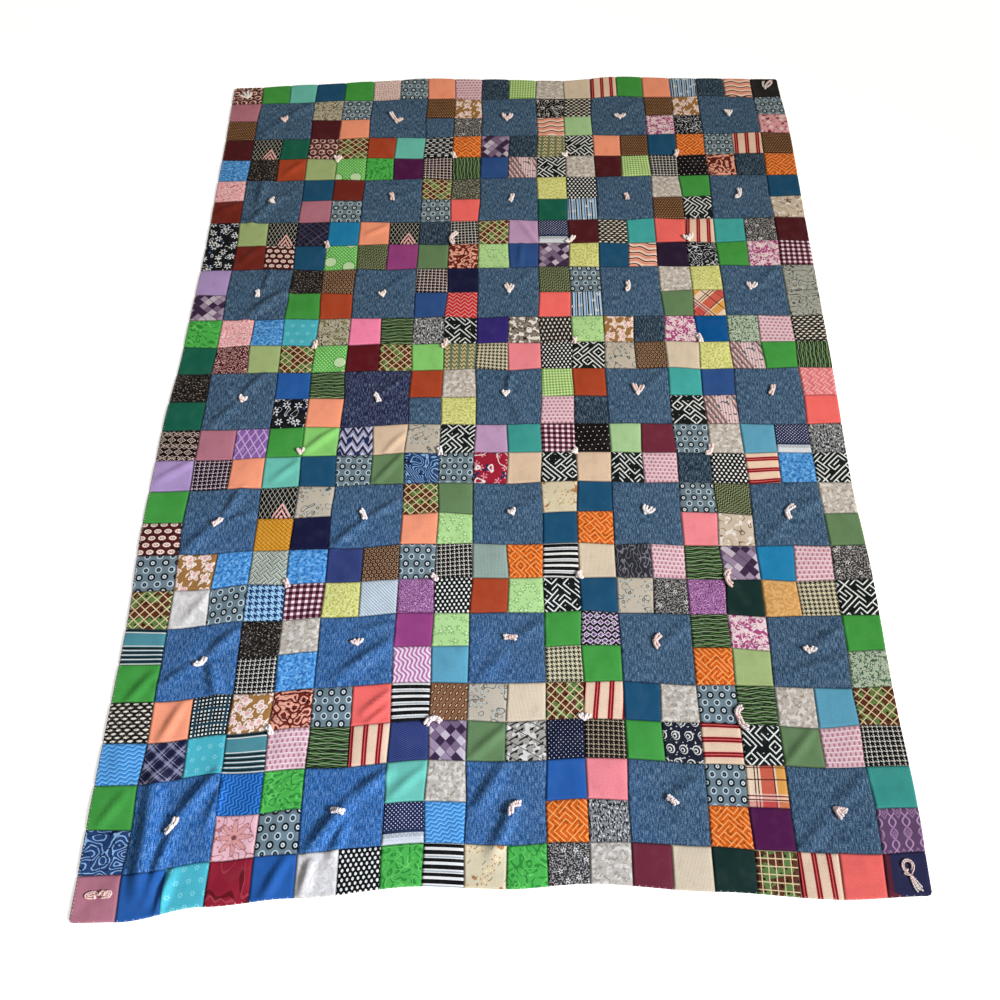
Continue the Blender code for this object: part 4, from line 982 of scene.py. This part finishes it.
def top_height(across, down):
    """How high the upper face of the cloth lies, in mm."""
    size = bpy.context.scene.quilt_sizes
    beside, above = seam_distance(across, down)
    nearest = np.minimum(abs(beside), abs(above))
    puff = size.puff / MM * (1 - np.exp(-nearest / PUFF_REACH))
    groove = size.seam_depth / MM * np.exp(-(nearest / GROOVE_REACH) ** 2)
    # the seam allowances lie to one side under the cloth and lift it a little
    from_seam, half_width, lift = ALLOWANCE
    lip = lift * (np.exp(-((beside - from_seam) / half_width) ** 2)
                  + np.exp(-((above + from_seam) / half_width) ** 2))
    rim = np.minimum(np.minimum(across, ACROSS - across), np.minimum(down, DOWN - down)) * size.square / MM
    rounding = size.rim_drop / MM * (1 - np.sqrt(1 - (1 - np.minimum(rim / RIM_ROUND, 1)) ** 2))
    calm = np.clip(rim / CALM_RIM, 0.25, 1)
    folds = fold_height(across, down)
    height = (size.thickness / MM + folds + (sway_and_drag(across, down) + lip) * calm + puff - groove
              + tie_pull(across, down) - rounding)
    return np.maximum(height, FLOOR_GAP + folds)


def quilt_point(across, down, above=0.0):
    """A place on the upper face, lifted by above in mm, in metres."""
    x, y = on_surface(across, down)
    return np.stack([x, y, (top_height(across, down) + above) * MM], axis=-1)


# ---------------------------------------------------------------- meshes

def stepped(first, last, steps):
    """Places from one seam to another, closer together beside each seam."""
    u = np.arange(steps) / steps
    eased = u - 0.7 * np.sin(2 * math.pi * u) / (2 * math.pi)
    return np.append((np.arange(first, last)[:, None] + eased[None, :]).ravel(), float(last))


def mesh_piece(name, points, faces, materials):
    """A piece of the quilt from points and faces, riding on its one body."""
    mesh = bpy.data.meshes.new(name)
    mesh.from_pydata(points.tolist(), [], faces.tolist() if hasattr(faces, "tolist") else faces)
    for material in materials:
        mesh.materials.append(material)
    mesh.shade_smooth()
    mesh.update()
    made = bpy.data.objects.new(name, mesh)
    bpy.context.scene.collection.objects.link(made)
    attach(made, "root")
    return made


def grid_faces(columns, rows, up=True):
    """Quads between columns by rows of points that run across, then down."""
    first = (np.arange(rows - 1)[:, None] * columns + np.arange(columns - 1)[None, :]).ravel()
    quads = np.stack([first, first + columns, first + columns + 1, first + 1], axis=1)
    return quads if up else quads[:, ::-1]


CHART_ROWS = [line.split() for line in CHART.strip().splitlines()]
BAKE_CUTS = (0, 7, 13, 20)    # where a strip is cut into lengths to fill a square image


def patch_start(across, down):
    """The first square of the patch that a square belongs to: its own, or a denim block's."""
    if CHART_ROWS[down][across] != "##":
        return across, down
    return across - (across - 1) % BLOCK_EVERY, down - (down - 1) % BLOCK_EVERY


def square_code(across, down):
    """The fabric of a square."""
    code = CHART_ROWS[down][across]
    return "#d" if code == "##" and patch_start(across, down) in DARK_BLOCKS else code


def lie_of_print(across, down):
    """How the print lies on a square's patch: its shift in mm and its turn in radians."""
    start = patch_start(across, down)
    turn = math.radians(TURNED.get((across, down), 0))
    if square_code(across, down) in PLACED:
        half_square = bpy.context.scene.quilt_sizes.square / MM / 2
        return (half_square, half_square), turn
    chance = np.random.RandomState(1000 + start[0] * 31 + start[1])
    shift = chance.uniform(0, 400, 2)
    return shift, math.radians(chance.normal(0, 2.0)) + turn


def bake_places(a, d, first, last):
    """Where each face's corners lie in the strip's square image, which takes the strip in lengths."""
    margin, gap = 0.05, 0.03
    side = max(np.diff(BAKE_CUTS)) + 2 * margin
    length = np.digitize(a.mean(1), BAKE_CUTS[1:-1])[:, None]
    u = a - np.array(BAKE_CUTS)[length] + margin
    v = length * (last - first + 2 * gap) + (last - d) + gap
    return np.stack([u, v], axis=-1) / side


def give_values(mesh, label, values):
    """A value at each point of a mesh, for its material to read."""
    layer = mesh.attributes.new(label, "FLOAT", "POINT")
    layer.data.foreach_set("value", values.astype(np.float32))


def make_strip(first, last, fabrics):
    """The squares of one or two rows, sewn together into a strip."""
    size = bpy.context.scene.quilt_sizes
    square = size.square / MM
    across, down = stepped(0, ACROSS, size.steps), stepped(first, last, size.steps)
    a, d = np.meshgrid(across, down)
    faces = grid_faces(len(across), len(down))
    name = f"patches_row_{first + 1:02d}" + (f"_{last:02d}" if last - first > 1 else "")
    strip = mesh_piece(name, quilt_point(a, d).reshape(-1, 3), faces, [])
    mesh = strip.data
    a, d = a.ravel(), d.ravel()
    corner_a, corner_d = a[faces], d[faces]
    cell_a, cell_d = corner_a.mean(1).astype(int), corner_d.mean(1).astype(int)
    codes = []
    slots = np.zeros(len(faces), int)
    cloth = np.zeros((len(faces), 4, 2))
    for down_at in range(first, last):
        for across_at in range(ACROSS):
            code = square_code(across_at, down_at)
            if code not in codes:
                codes.append(code)
            here = (cell_a == across_at) & (cell_d == down_at)
            slots[here] = codes.index(code)
            start_a, start_d = patch_start(across_at, down_at)
            x = (corner_a[here] - start_a - 0.5) * square
            y = (start_d + 0.5 - corner_d[here]) * square
            shift, turn = lie_of_print(across_at, down_at)
            cloth[here, :, 0] = x * math.cos(turn) - y * math.sin(turn) + shift[0]
            cloth[here, :, 1] = x * math.sin(turn) + y * math.cos(turn) + shift[1]
    for label, places in (("OFBake", bake_places(corner_a, corner_d, first, last)), ("Cloth", cloth)):
        layer = mesh.uv_layers.new(name=label)
        layer.data.foreach_set("uv", places.astype(np.float32).ravel())
    mesh.polygons.foreach_set("material_index", slots)
    beside, above = seam_distance(a, d)
    give_values(mesh, "seam", np.minimum(abs(beside), abs(above)))
    # painted light: the denim is painted brighter and bluer towards the near left corner
    from_corner = np.hypot((a - PAINTED_LIGHT_PLACE[0]) / PAINTED_LIGHT_REACH[0], (d - PAINTED_LIGHT_PLACE[1]) / PAINTED_LIGHT_REACH[1])
    give_values(mesh, "bright", np.clip(1.45 - 1.1 * from_corner, 0, 1))
    for code in codes:
        mesh.materials.append(fabrics[code])
    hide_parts("quilt")


def directions(line):
    """The way a line runs at each of its points, one long."""
    forward = np.gradient(line, axis=0)
    return forward / np.linalg.norm(forward, axis=1)[:, None]


def run_along(line):
    """How far each point of a line lies from its start, along the line."""
    return np.concatenate([[0], np.cumsum(np.linalg.norm(np.diff(line, axis=0), axis=1))])


def tube(points, radius, sides):
    """A round tube along points, with rounded ends: its points and faces."""
    points = np.asarray(points, float)
    radii = np.broadcast_to(radius, len(points))
    forward = directions(points)
    side = np.cross(forward[0], (0, 0, 1.0))
    if np.linalg.norm(side) < 0.1:
        side = np.cross(forward[0], (0, 1.0, 0))
    around = np.arange(sides) * 2 * math.pi / sides
    rings = []
    for point, ahead, reach in zip(points, forward, radii):
        side = side - ahead * side.dot(ahead)
        side /= np.linalg.norm(side)
        other = np.cross(ahead, side)
        rings.append(point + reach * (np.cos(around)[:, None] * side + np.sin(around)[:, None] * other))
    ends = [points[0] - forward[0] * radii[0] * 0.5, points[-1] + forward[-1] * radii[-1] * 0.5]
    corners = np.concatenate(rings + [np.array(ends)])
    near_end, far_end, last_ring = len(corners) - 2, len(corners) - 1, (len(points) - 1) * sides
    pairs = [(corner, (corner + 1) % sides) for corner in range(sides)]
    faces = [(ring + one, ring + two, ring + sides + two, ring + sides + one)
             for ring in range(0, last_ring, sides) for one, two in pairs]
    for one, two in pairs:
        faces.append((near_end, two, one))
        faces.append((far_end, last_ring + one, last_ring + two))
    return corners, faces


def joined(name, tubes, material):
    """Many tubes as one piece."""
    points, faces, count = [], [], 0
    for corners, sides in tubes:
        points.append(corners)
        faces.extend(tuple(index + count for index in face) for face in sides)
        count += len(corners)
    return mesh_piece(name, np.concatenate(points), faces, [material])


def plied(line, radius, twist):
    """Plies twisted round each other along a line: the line of each ply."""
    forward = directions(line)
    side = np.cross(forward, (0, 0, 1.0))
    side /= np.maximum(np.linalg.norm(side, axis=1), 1e-9)[:, None]
    other = np.cross(side, forward)
    run = run_along(line)
    for ply in range(PLIES):
        turn = 2 * math.pi * (run / twist + ply / PLIES)
        yield line + radius * (np.cos(turn)[:, None] * side + np.sin(turn)[:, None] * other)


# ---------------------------------------------------------------- yarn and thread

def squares_at(x, y):
    """The place on the quilt, in squares, that lies at x, y in metres."""
    square = bpy.context.scene.quilt_sizes.square
    across, down = ACROSS / 2 + x / square, DOWN / 2 - y / square
    for _ in range(5):
        at_x, at_y = on_surface(np.clip(across, 0, ACROSS), np.clip(down, 0, DOWN))
        across, down = across + (x - at_x) / square, down - (y - at_y) / square
    return np.clip(across, 0, ACROSS), np.clip(down, 0, DOWN)


def lying(x, y, above):
    """A line that lies on the cloth at x, y in metres, with its middle above mm over the cloth."""
    across, down = squares_at(x, y)
    return np.stack([x, y, (top_height(across, down) + above) * MM], axis=-1)


def curved(corners, count):
    """Points spread evenly along a smooth line through corners."""
    corners = np.asarray(corners, float)
    ends = np.concatenate([[2 * corners[0] - corners[1]], corners, [2 * corners[-1] - corners[-2]]])
    place = np.linspace(0, len(corners) - 1, 12 * len(corners))
    first = np.minimum(place.astype(int), len(corners) - 2)
    t = (place - first)[:, None]
    a, b, c, d = (ends[first + step] for step in range(4))
    line = 0.5 * (2 * b + (c - a) * t + (2 * a - 5 * b + 4 * c - d) * t ** 2
                  + (3 * b - a - 3 * c + d) * t ** 3)
    run = run_along(line)
    spread = np.linspace(0, run[-1], count)
    return np.stack([np.interp(spread, run, line[:, axis]) for axis in range(line.shape[1])], axis=1)


def tail_line(turn, length, bend, count):
    """The middle of one tail from the knot outwards, in mm."""
    share = (np.arange(count) + 0.5) / count
    heading = np.radians(turn + bend * np.clip((share - 1 / 6) * 1.5, 0, 1))
    steps = np.stack([np.cos(heading), np.sin(heading)], axis=1) * length / count
    return np.concatenate([[(0, 0)], np.cumsum(steps, axis=0)])


def yarn_strands(knot, line, chance, yarn):
    """The twisted plies of the strands of yarn that run side by side from a knot along a line in mm."""
    run, forward = run_along(line), directions(line)
    beside = np.stack([-forward[:, 1], forward[:, 0]], axis=1)
    splay = chance.uniform(0.0, 0.9)
    for strand in (-1, 1):
        apart = yarn * 0.44 * strand * np.clip(run / 5, 0.2, 1) + strand * splay * (run / run[-1]) ** 2
        path = line + beside * apart[:, None]
        keep = max(6, int(len(path) * chance.uniform(0.86, 1.0)))
        path, along = path[:keep], run[:keep]
        # a strand lies on the cloth, and is lifted by as much again where it leaves the knot
        above = (yarn * 0.45 + yarn * 0.45 * np.exp(-(along / 6) ** 2)
                 + 0.5 * np.sin(along / 5 + strand) ** 2 + chance.uniform(0, 2.5) * (along / run[-1]) ** 3)
        places = lying(knot[0] + path[:, 0] * MM, knot[1] + path[:, 1] * MM, above)
        for ply in plied(places, yarn * PLY_OFFSET * MM, PLY_TWIST * MM):
            # the cut end frays a little before it closes
            swell = np.interp(np.linspace(0, 1, len(ply)), (0, 0.5, 0.85, 1), (0.85, 1, 1.15, 0.7))
            yield tube(ply, yarn * PLY_RADIUS * MM * swell, 6)


def knot_wraps(knot, turn, yarn, base):
    """The tight wraps of a reef knot: a fat loop across the tails and a second across it."""
    angle = np.linspace(0.15, 2 * math.pi - 0.3, KNOT_POINTS)
    for lean, reach, lift in KNOT_WRAPS:
        heading = math.radians(turn + lean)
        out, over = yarn * reach * np.cos(angle), yarn * 0.38 * np.sin(angle)
        x = out * math.cos(heading) - over * 0.55 * math.sin(heading)
        y = out * math.sin(heading) + over * 0.55 * math.cos(heading)
        z = np.maximum(base + yarn * lift + over * 0.75, yarn * 0.55)    # clear of what the quilt lies on
        places = np.stack([knot[0] + x * MM, knot[1] + y * MM, z * MM], axis=-1)
        for ply in plied(places, yarn * KNOT_PLY_OFFSET * MM, KNOT_TWIST * MM):
            yield tube(ply, yarn * PLY_RADIUS * MM, 6)


def fibre_material(name, tint, size, depth, relief, roughness):
    """A matt material of fibres about a size in mm: how deeply they show in its colour and how far in relief.

    The tint is a colour, or a function that makes it from the material's nodes."""
    material = bpy.data.materials.new(name)
    material.use_nodes = True
    tree, shader = material.node_tree, material.node_tree.nodes["Principled BSDF"]
    place = add(tree, "TexCoord").outputs["Object"]
    fibres = add(tree, "TexNoise", {}, {"Vector": place, "Scale": 1 / (size * MM), "Detail": 2.0})
    shaded = add(tree, "Mix", {"data_type": "RGBA", "blend_type": "MULTIPLY"},
                 {0: depth, 6: tint(tree) if callable(tint) else (*tint, 1.0), 7: fibres.outputs[1]})
    bump = add(tree, "Bump", {}, {"Strength": relief, "Distance": 0.3 * MM, "Height": fibres.outputs[0]})
    tree.links.new(shaded.outputs[2], shader.inputs["Base Color"])
    tree.links.new(bump.outputs[0], shader.inputs["Normal"])
    shader.inputs["Roughness"].default_value = roughness
    return material


def yarn_material():
    """Soft acrylic yarn, spun from fine hairs and dyed in stretches: matt, with hairs that catch light."""
    look = bpy.context.scene.quilt_look

    def dyed(tree):
        blush = add(tree, "Attribute", {"attribute_name": "blush"}).outputs["Fac"]
        return add(tree, "Mix", {"data_type": "RGBA"},
                   {0: blush, 6: (*look.yarn_pale, 1.0), 7: (*look.yarn_deep, 1.0)}).outputs[2]

    # hairs are far finer than this; drawn about 1 mm long so that they show
    material = fibre_material("spun_acrylic_yarn", dyed, 0.9, 0.14, 0.5, 0.85)
    material.node_tree.nodes["Principled BSDF"].inputs["Sheen Weight"].default_value = 0.3
    return material


def plain_cotton(name, colour, weave):
    """Plain cotton in one colour: matt, its weave of about 0.4 mm drawn coarser so that it shows."""
    return fibre_material(name, colour, weave, 0.12, 0.4, 0.9)


def rim_points():
    """Places round the rim, as (across, down), and the way inwards there, a stitch gap apart."""
    size = bpy.context.scene.quilt_sizes
    close = size.stitch_gap / size.square
    wide = close * 2.1
    for (across, down), (in_across, in_down), length, gap in (
        ((0.0, 0.0), (1, 0), DOWN, close), ((float(ACROSS), 0.0), (-1, 0), DOWN, wide),
        ((0.0, 0.0), (0, 1), ACROSS, wide), ((0.0, float(DOWN)), (0, -1), ACROSS, wide),
    ):
        for place in np.arange(0.06, length - 0.06, gap):
            yield (across + abs(in_down) * place, down + abs(in_across) * place), (in_across, in_down)


# ---------------------------------------------------------------- what a user may change

def number(name, description, default, **more):
    return bpy.props.FloatProperty(name=name, description=description, default=default, precision=5, **more)


def shade(name, description, hex_colour):
    return bpy.props.FloatVectorProperty(name=name, description=description, subtype="COLOR", size=3,
                                         default=linear(hex_colour)[:3], min=0, max=1)


class QuiltSizes(bpy.types.PropertyGroup):
    """Sizes of the quilt's pieces."""
    square: number("Square", "Side of a small square between seams", 76.2 * MM, unit="LENGTH")
    thickness: number("Thickness", "Thickness of the layers together", 4 * MM, unit="LENGTH")
    fold_share: number("Fold height", "Height of the folds against their own in the table", 1.3)
    corner_round: number("Corner round", "Radius of the quilt's rounded corners", 9 * MM, unit="LENGTH")
    seam_stray: number("Seam stray", "How far the corners of the squares miss their places", 1.4 * MM,
                       unit="LENGTH")
    puff: number("Puff", "How far a square stands above its seams", 1.2 * MM, unit="LENGTH")
    seam_depth: number("Seam depth", "How far a seam is drawn in", 1.5 * MM, unit="LENGTH")
    tie_dent: number("Tie dent", "How far a tie pulls the cloth down", 2.2 * MM, unit="LENGTH")
    rim_drop: number("Rim drop", "How far the upper face falls at the rim", 3.0 * MM, unit="LENGTH")
    stitch_gap: number("Stitch gap", "From stitch to stitch on the closely sewn rim", 6 * MM, unit="LENGTH")
    yarn: number("Yarn", "Thickness of a strand of the ties' yarn", 6.4 * MM, unit="LENGTH")
    steps: bpy.props.IntProperty(name="Steps", description="Faces along the side of a square", default=20,
                                 min=4)


class QuiltLook(bpy.types.PropertyGroup):
    """Colours and finish of the quilt's cloth and yarn."""
    roughness: number("Roughness", "Roughness of the cloth", 0.86, subtype="FACTOR", min=0, max=1)
    unevenness: number("Uneven dye", "How much lighter and darker worn cloth is from place to place", 0.5,
                       min=0)
    # painted shade: how dark the cloth is painted where it dips into a seam, and how far from the seam it
    # reaches
    seam_shade: number("Seam shade", "How dark the cloth is where it dips into a seam", 0.62,
                       subtype="FACTOR", min=0, max=1)
    seam_shade_width: number("Seam shade width", "How far from a seam the cloth is dark, in mm", 2.6, min=0.1)
    yarn_pale: shade("Pale yarn", "The yarn's palest stretches", "fcf4f0")
    yarn_deep: shade("Tinted yarn", "The yarn's most deeply dyed stretches", "f0c6ba")
    reverse: shade("Reverse", "The plain sheet under the quilt", "e6dfd0")
    thread: shade("Thread", "The thread that binds the rim", "e9dfcb")


class QuiltStage(bpy.types.PropertyGroup):
    """The plain stage and its light."""
    floor: shade("Floor", "The plain pale floor", "fafafa")
    glow: number("Glow", "Strength of the lit floor", 0.42, min=0)
    sky: number("Sky", "Strength of the light from all round", 0.275, min=0)
    key: number("Key", "Strength of the large far light on the right", 2.55, min=0)
    window: number("Window", "Power of the cooler light that reaches the near left corner", 900.0,
                   unit="POWER", min=0)
    fill: number("Fill", "Power of the light over the quilt's middle", 245.0, unit="POWER", min=0)


# ---------------------------------------------------------------- operators

class Patches(bpy.types.Operator):
    """Sew the squares and denim blocks into strips, from the far rim to the near one"""
    bl_idname = "quilt.patches"
    bl_label = "Patchwork"

    def execute(self, context):
        codes = {square_code(across, down) for across in range(ACROSS) for down in range(DOWN)}
        fabrics = {code: new_fabric(code) for code in sorted(codes)}
        for first in (0, *range(1, DOWN, 2)):
            make_strip(first, min(first + (2 if first else 1), DOWN), fabrics)
        return {"FINISHED"}


class Reverse(bpy.types.Operator):
    """Lay the plain sheet under the patchwork, its rim drawn up to the patchwork's"""
    bl_idname = "quilt.reverse"
    bl_label = "Reverse"

    def execute(self, context):
        across, down = stepped(0, ACROSS, REVERSE_STEPS), stepped(0, DOWN, REVERSE_STEPS)
        a, d = np.meshgrid(across, down)
        x, y = on_surface(a, d)
        at_rim = (a <= 0) | (a >= ACROSS) | (d <= 0) | (d >= DOWN)
        z = np.where(at_rim, top_height(a, d) - RIM_GAP, fold_height(a, d) + REVERSE_LIFT)
        points = np.stack([x, y, z * MM], axis=-1).reshape(-1, 3)
        cotton = plain_cotton("woven_cotton_sheeting", tuple(context.scene.quilt_look.reverse), 1.6)
        sheet = mesh_piece("quilt_reverse", points, grid_faces(len(across), len(down), up=False), [cotton])
        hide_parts("quilt")
        return {"FINISHED"}


class RimStitches(bpy.types.Operator):
    """Whip the rim with thread, closely at the left and further apart at the other sides"""
    bl_idname = "quilt.rim_stitches"
    bl_label = "Rim stitches"

    def execute(self, context):
        chance = np.random.RandomState(8)
        square = context.scene.quilt_sizes.square / MM
        tubes = []
        for (across, down), (in_across, in_down) in rim_points():
            reach = chance.uniform(*(LEFT_STITCH if in_across > 0 else OTHER_STITCH))
            slant = chance.uniform(*STITCH_SLANT)
            line = []
            for inwards, along, above in ((reach, slant, 0.0), (reach * 0.6, slant * 0.7, 0.35),
                                          (1.2, slant * 0.3, 0.5), (-0.1, 0.1, 0.3)):
                a = np.clip(across + (in_across * inwards + abs(in_down) * along) / square, 0, ACROSS)
                d = np.clip(down + (in_down * inwards + abs(in_across) * along) / square, 0, DOWN)
                line.append(quilt_point(a, d, above))
            outside = line[-1].copy()
            outside[:2] += (-0.7 * MM * in_across, 0.7 * MM * in_down)
            outside[2] = max(outside[2] - 0.9 * MM, 0.3 * MM)
            line.append(outside)
            tubes.append(tube(line, THREAD_RADIUS * MM, 4))
        thread = plain_cotton("twisted_cotton_thread", tuple(context.scene.quilt_look.thread), 0.8)
        joined("rim_stitches", tubes, thread)
        return {"FINISHED"}


class YarnTies(bpy.types.Operator):
    """Knot each yarn tie through the quilt and lay its tails on the cloth"""
    bl_idname = "quilt.yarn_ties"
    bl_label = "Yarn ties"

    def execute(self, context):
        yarn = context.scene.quilt_sizes.yarn / MM
        tubes, blush = [], []
        for number_of_tie, (node, across, down, shape, turn, size) in enumerate(TIES):
            chance = np.random.RandomState(200 + number_of_tie)
            knot = on_surface(np.array(across), np.array(down))
            base = float(top_height(np.array([across]), np.array([down]))[0])
            if node in CORNER_STRANDS:
                thick = yarn * CORNER_YARN
                lines = [curved(line, CORNER_POINTS) for line in CORNER_STRANDS[node]]
            else:
                thick = yarn
                tails = (TIE_SHAPES[shape][:3], TIE_SHAPES[shape][3:])
                lines = [tail_line(turn + way, length * size * TAIL_SHOWN, bend, TAIL_STEPS)
                         for way, length, bend in tails]
            made = []
            for line in lines:
                made.extend(yarn_strands(knot, line, chance, thick))
            made.extend(knot_wraps(knot, turn, thick, base))
            tint = YARN_TINTS.get(node, chance.uniform(0.0, 0.5))
            for corners, _ in made:
                away = np.hypot(corners[:, 0] - knot[0], corners[:, 1] - knot[1]) / MM
                blush.append(np.clip(tint + 0.22 * np.sin(away / 7 + number_of_tie), 0, 1))
            tubes.extend(made)
        ties = joined("yarn_ties", tubes, yarn_material())
        give_values(ties.data, "blush", np.concatenate(blush))
        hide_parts(*(row[0] for row in TIES if row[0]))
        return {"FINISHED"}


class LooseThreads(bpy.types.Operator):
    """Let a few ends of thread stand out from the rim"""
    bl_idname = "quilt.loose_threads"
    bl_label = "Loose threads"

    def execute(self, context):
        tubes = []
        for across, down, *steps in LOOSE_THREADS:
            x, y = on_surface(np.array(across), np.array(down))
            flat = curved([(x / MM, y / MM)] + [(x / MM + dx, y / MM + dy) for dx, dy in steps], LOOSE_POINTS)
            z = np.interp(np.linspace(0, 1, LOOSE_POINTS), (0, 0.25, 1), (1.6, 1.4, 0.6))
            tubes.append(tube(np.column_stack([flat, z]) * MM, LOOSE_RADIUS * MM, 4))
        thread = plain_cotton("loose_cotton_thread", tuple(context.scene.quilt_look.thread), 0.8)
        joined("loose_threads", tubes, thread)
        return {"FINISHED"}


def lay_floor(scene):
    """A plain board under the quilt, lit so that it stays white where the light is weaker."""
    stage = scene.quilt_stage
    mesh = bpy.data.meshes.new("floor")
    corners = ((-1, -1), (1, -1), (1, 1), (-1, 1))
    mesh.from_pydata([(x * FLOOR_HALF_SIDE, y * FLOOR_HALF_SIDE, FLOOR_LEVEL) for x, y in corners],
                     [], [(0, 1, 2, 3)])
    floor = bpy.data.objects.new("floor", mesh)
    paint = bpy.data.materials.new("matt_white_board")
    paint.use_nodes = True
    shader = paint.node_tree.nodes["Principled BSDF"]
    for socket, value in {"Base Color": (*stage.floor, 1.0), "Roughness": 0.95,
                          "Emission Color": (1.0, 1.0, 1.0, 1.0), "Emission Strength": stage.glow}.items():
        shader.inputs[socket].default_value = value
    mesh.materials.append(paint)
    scene.collection.objects.link(floor)


def hang_lights(scene):
    """Light from all round, a large far light and two soft spots."""
    stage = scene.quilt_stage
    world = bpy.data.worlds.new("soft_room")
    world.use_nodes = True
    background = world.node_tree.nodes["Background"]
    background.inputs["Color"].default_value = linear("fdfdff")
    background.inputs["Strength"].default_value = stage.sky
    scene.world = world
    for name, kind, place, aim, power, colour in (
        ("key_light", "SUN", (2.3, -1.2, 1.6), (0, 0, 0), stage.key, "fff3e2"),
        ("window_light", "SPOT", (3.2, -1.9, 2.0), (-0.95, -1.0, 0), stage.window, "c8deff"),
        ("fill_light", "SPOT", (2.6, -0.9, 2.2), (0.3, 0.0, 0), stage.fill, "eef4ff"),
    ):
        light = bpy.data.lights.new(name, kind)
        light.energy, light.color = power, linear(colour)[:3]
        if kind == "SUN":
            light.angle = math.radians(16)
        else:
            light.shadow_soft_size, light.spot_size, light.spot_blend = 0.45, math.radians(34), 1.0
        lamp = bpy.data.objects.new(name, light)
        lamp.location = place
        lamp.rotation_euler = (Vector(aim) - Vector(place)).to_track_quat("-Z", "Y").to_euler()
        scene.collection.objects.link(lamp)


def set_camera(scene):
    """The camera stands at the quilt's near end and looks down at it."""
    lens = bpy.data.cameras.new("camera")
    lens.lens, lens.sensor_width = CAMERA_LENS, 36
    lens.clip_start, lens.clip_end = 0.05, 50
    camera = bpy.data.objects.new("camera", lens)
    camera.location = CAMERA_PLACE
    camera.rotation_euler = CAMERA_TILT
    scene.collection.objects.link(camera)
    scene.camera = camera
    scene.view_settings.view_transform = "Standard"


class Stage(bpy.types.Operator):
    """Set the plain pale floor, the soft light and the camera"""
    bl_idname = "quilt.stage"
    bl_label = "Stage"

    def execute(self, context):
        lay_floor(context.scene)
        hang_lights(context.scene)
        set_camera(context.scene)
        return {"FINISHED"}


class QuiltPanel(bpy.types.Panel):
    """The quilt's sizes and colours, and what makes each piece"""
    bl_idname = "VIEW3D_PT_quilt"
    bl_label = "Tied patchwork quilt"
    bl_space_type = "VIEW_3D"
    bl_region_type = "UI"
    bl_category = "Quilt"

    def draw(self, context):
        for group in (context.scene.quilt_sizes, context.scene.quilt_look, context.scene.quilt_stage):
            column = self.layout.column()
            for key in group.__annotations__:
                column.prop(group, key)
        for operator in OPERATORS:
            self.layout.operator(operator.bl_idname)


GROUPS = {"quilt_sizes": QuiltSizes, "quilt_look": QuiltLook, "quilt_stage": QuiltStage}
OPERATORS = (Patches, Reverse, RimStitches, YarnTies, LooseThreads, Stage)


def register():
    for made in (*GROUPS.values(), *OPERATORS, QuiltPanel):
        bpy.utils.register_class(made)
    for name, group in GROUPS.items():
        setattr(bpy.types.Scene, name, bpy.props.PointerProperty(type=group))


def unregister():
    for name in GROUPS:
        delattr(bpy.types.Scene, name)
    for made in (QuiltPanel, *reversed(OPERATORS), *GROUPS.values()):
        bpy.utils.unregister_class(made)


def main():
    register()
    for operator in OPERATORS:
        group, name = operator.bl_idname.split(".")
        getattr(getattr(bpy.ops, group), name)()


if __name__ == "__main__":
    main()
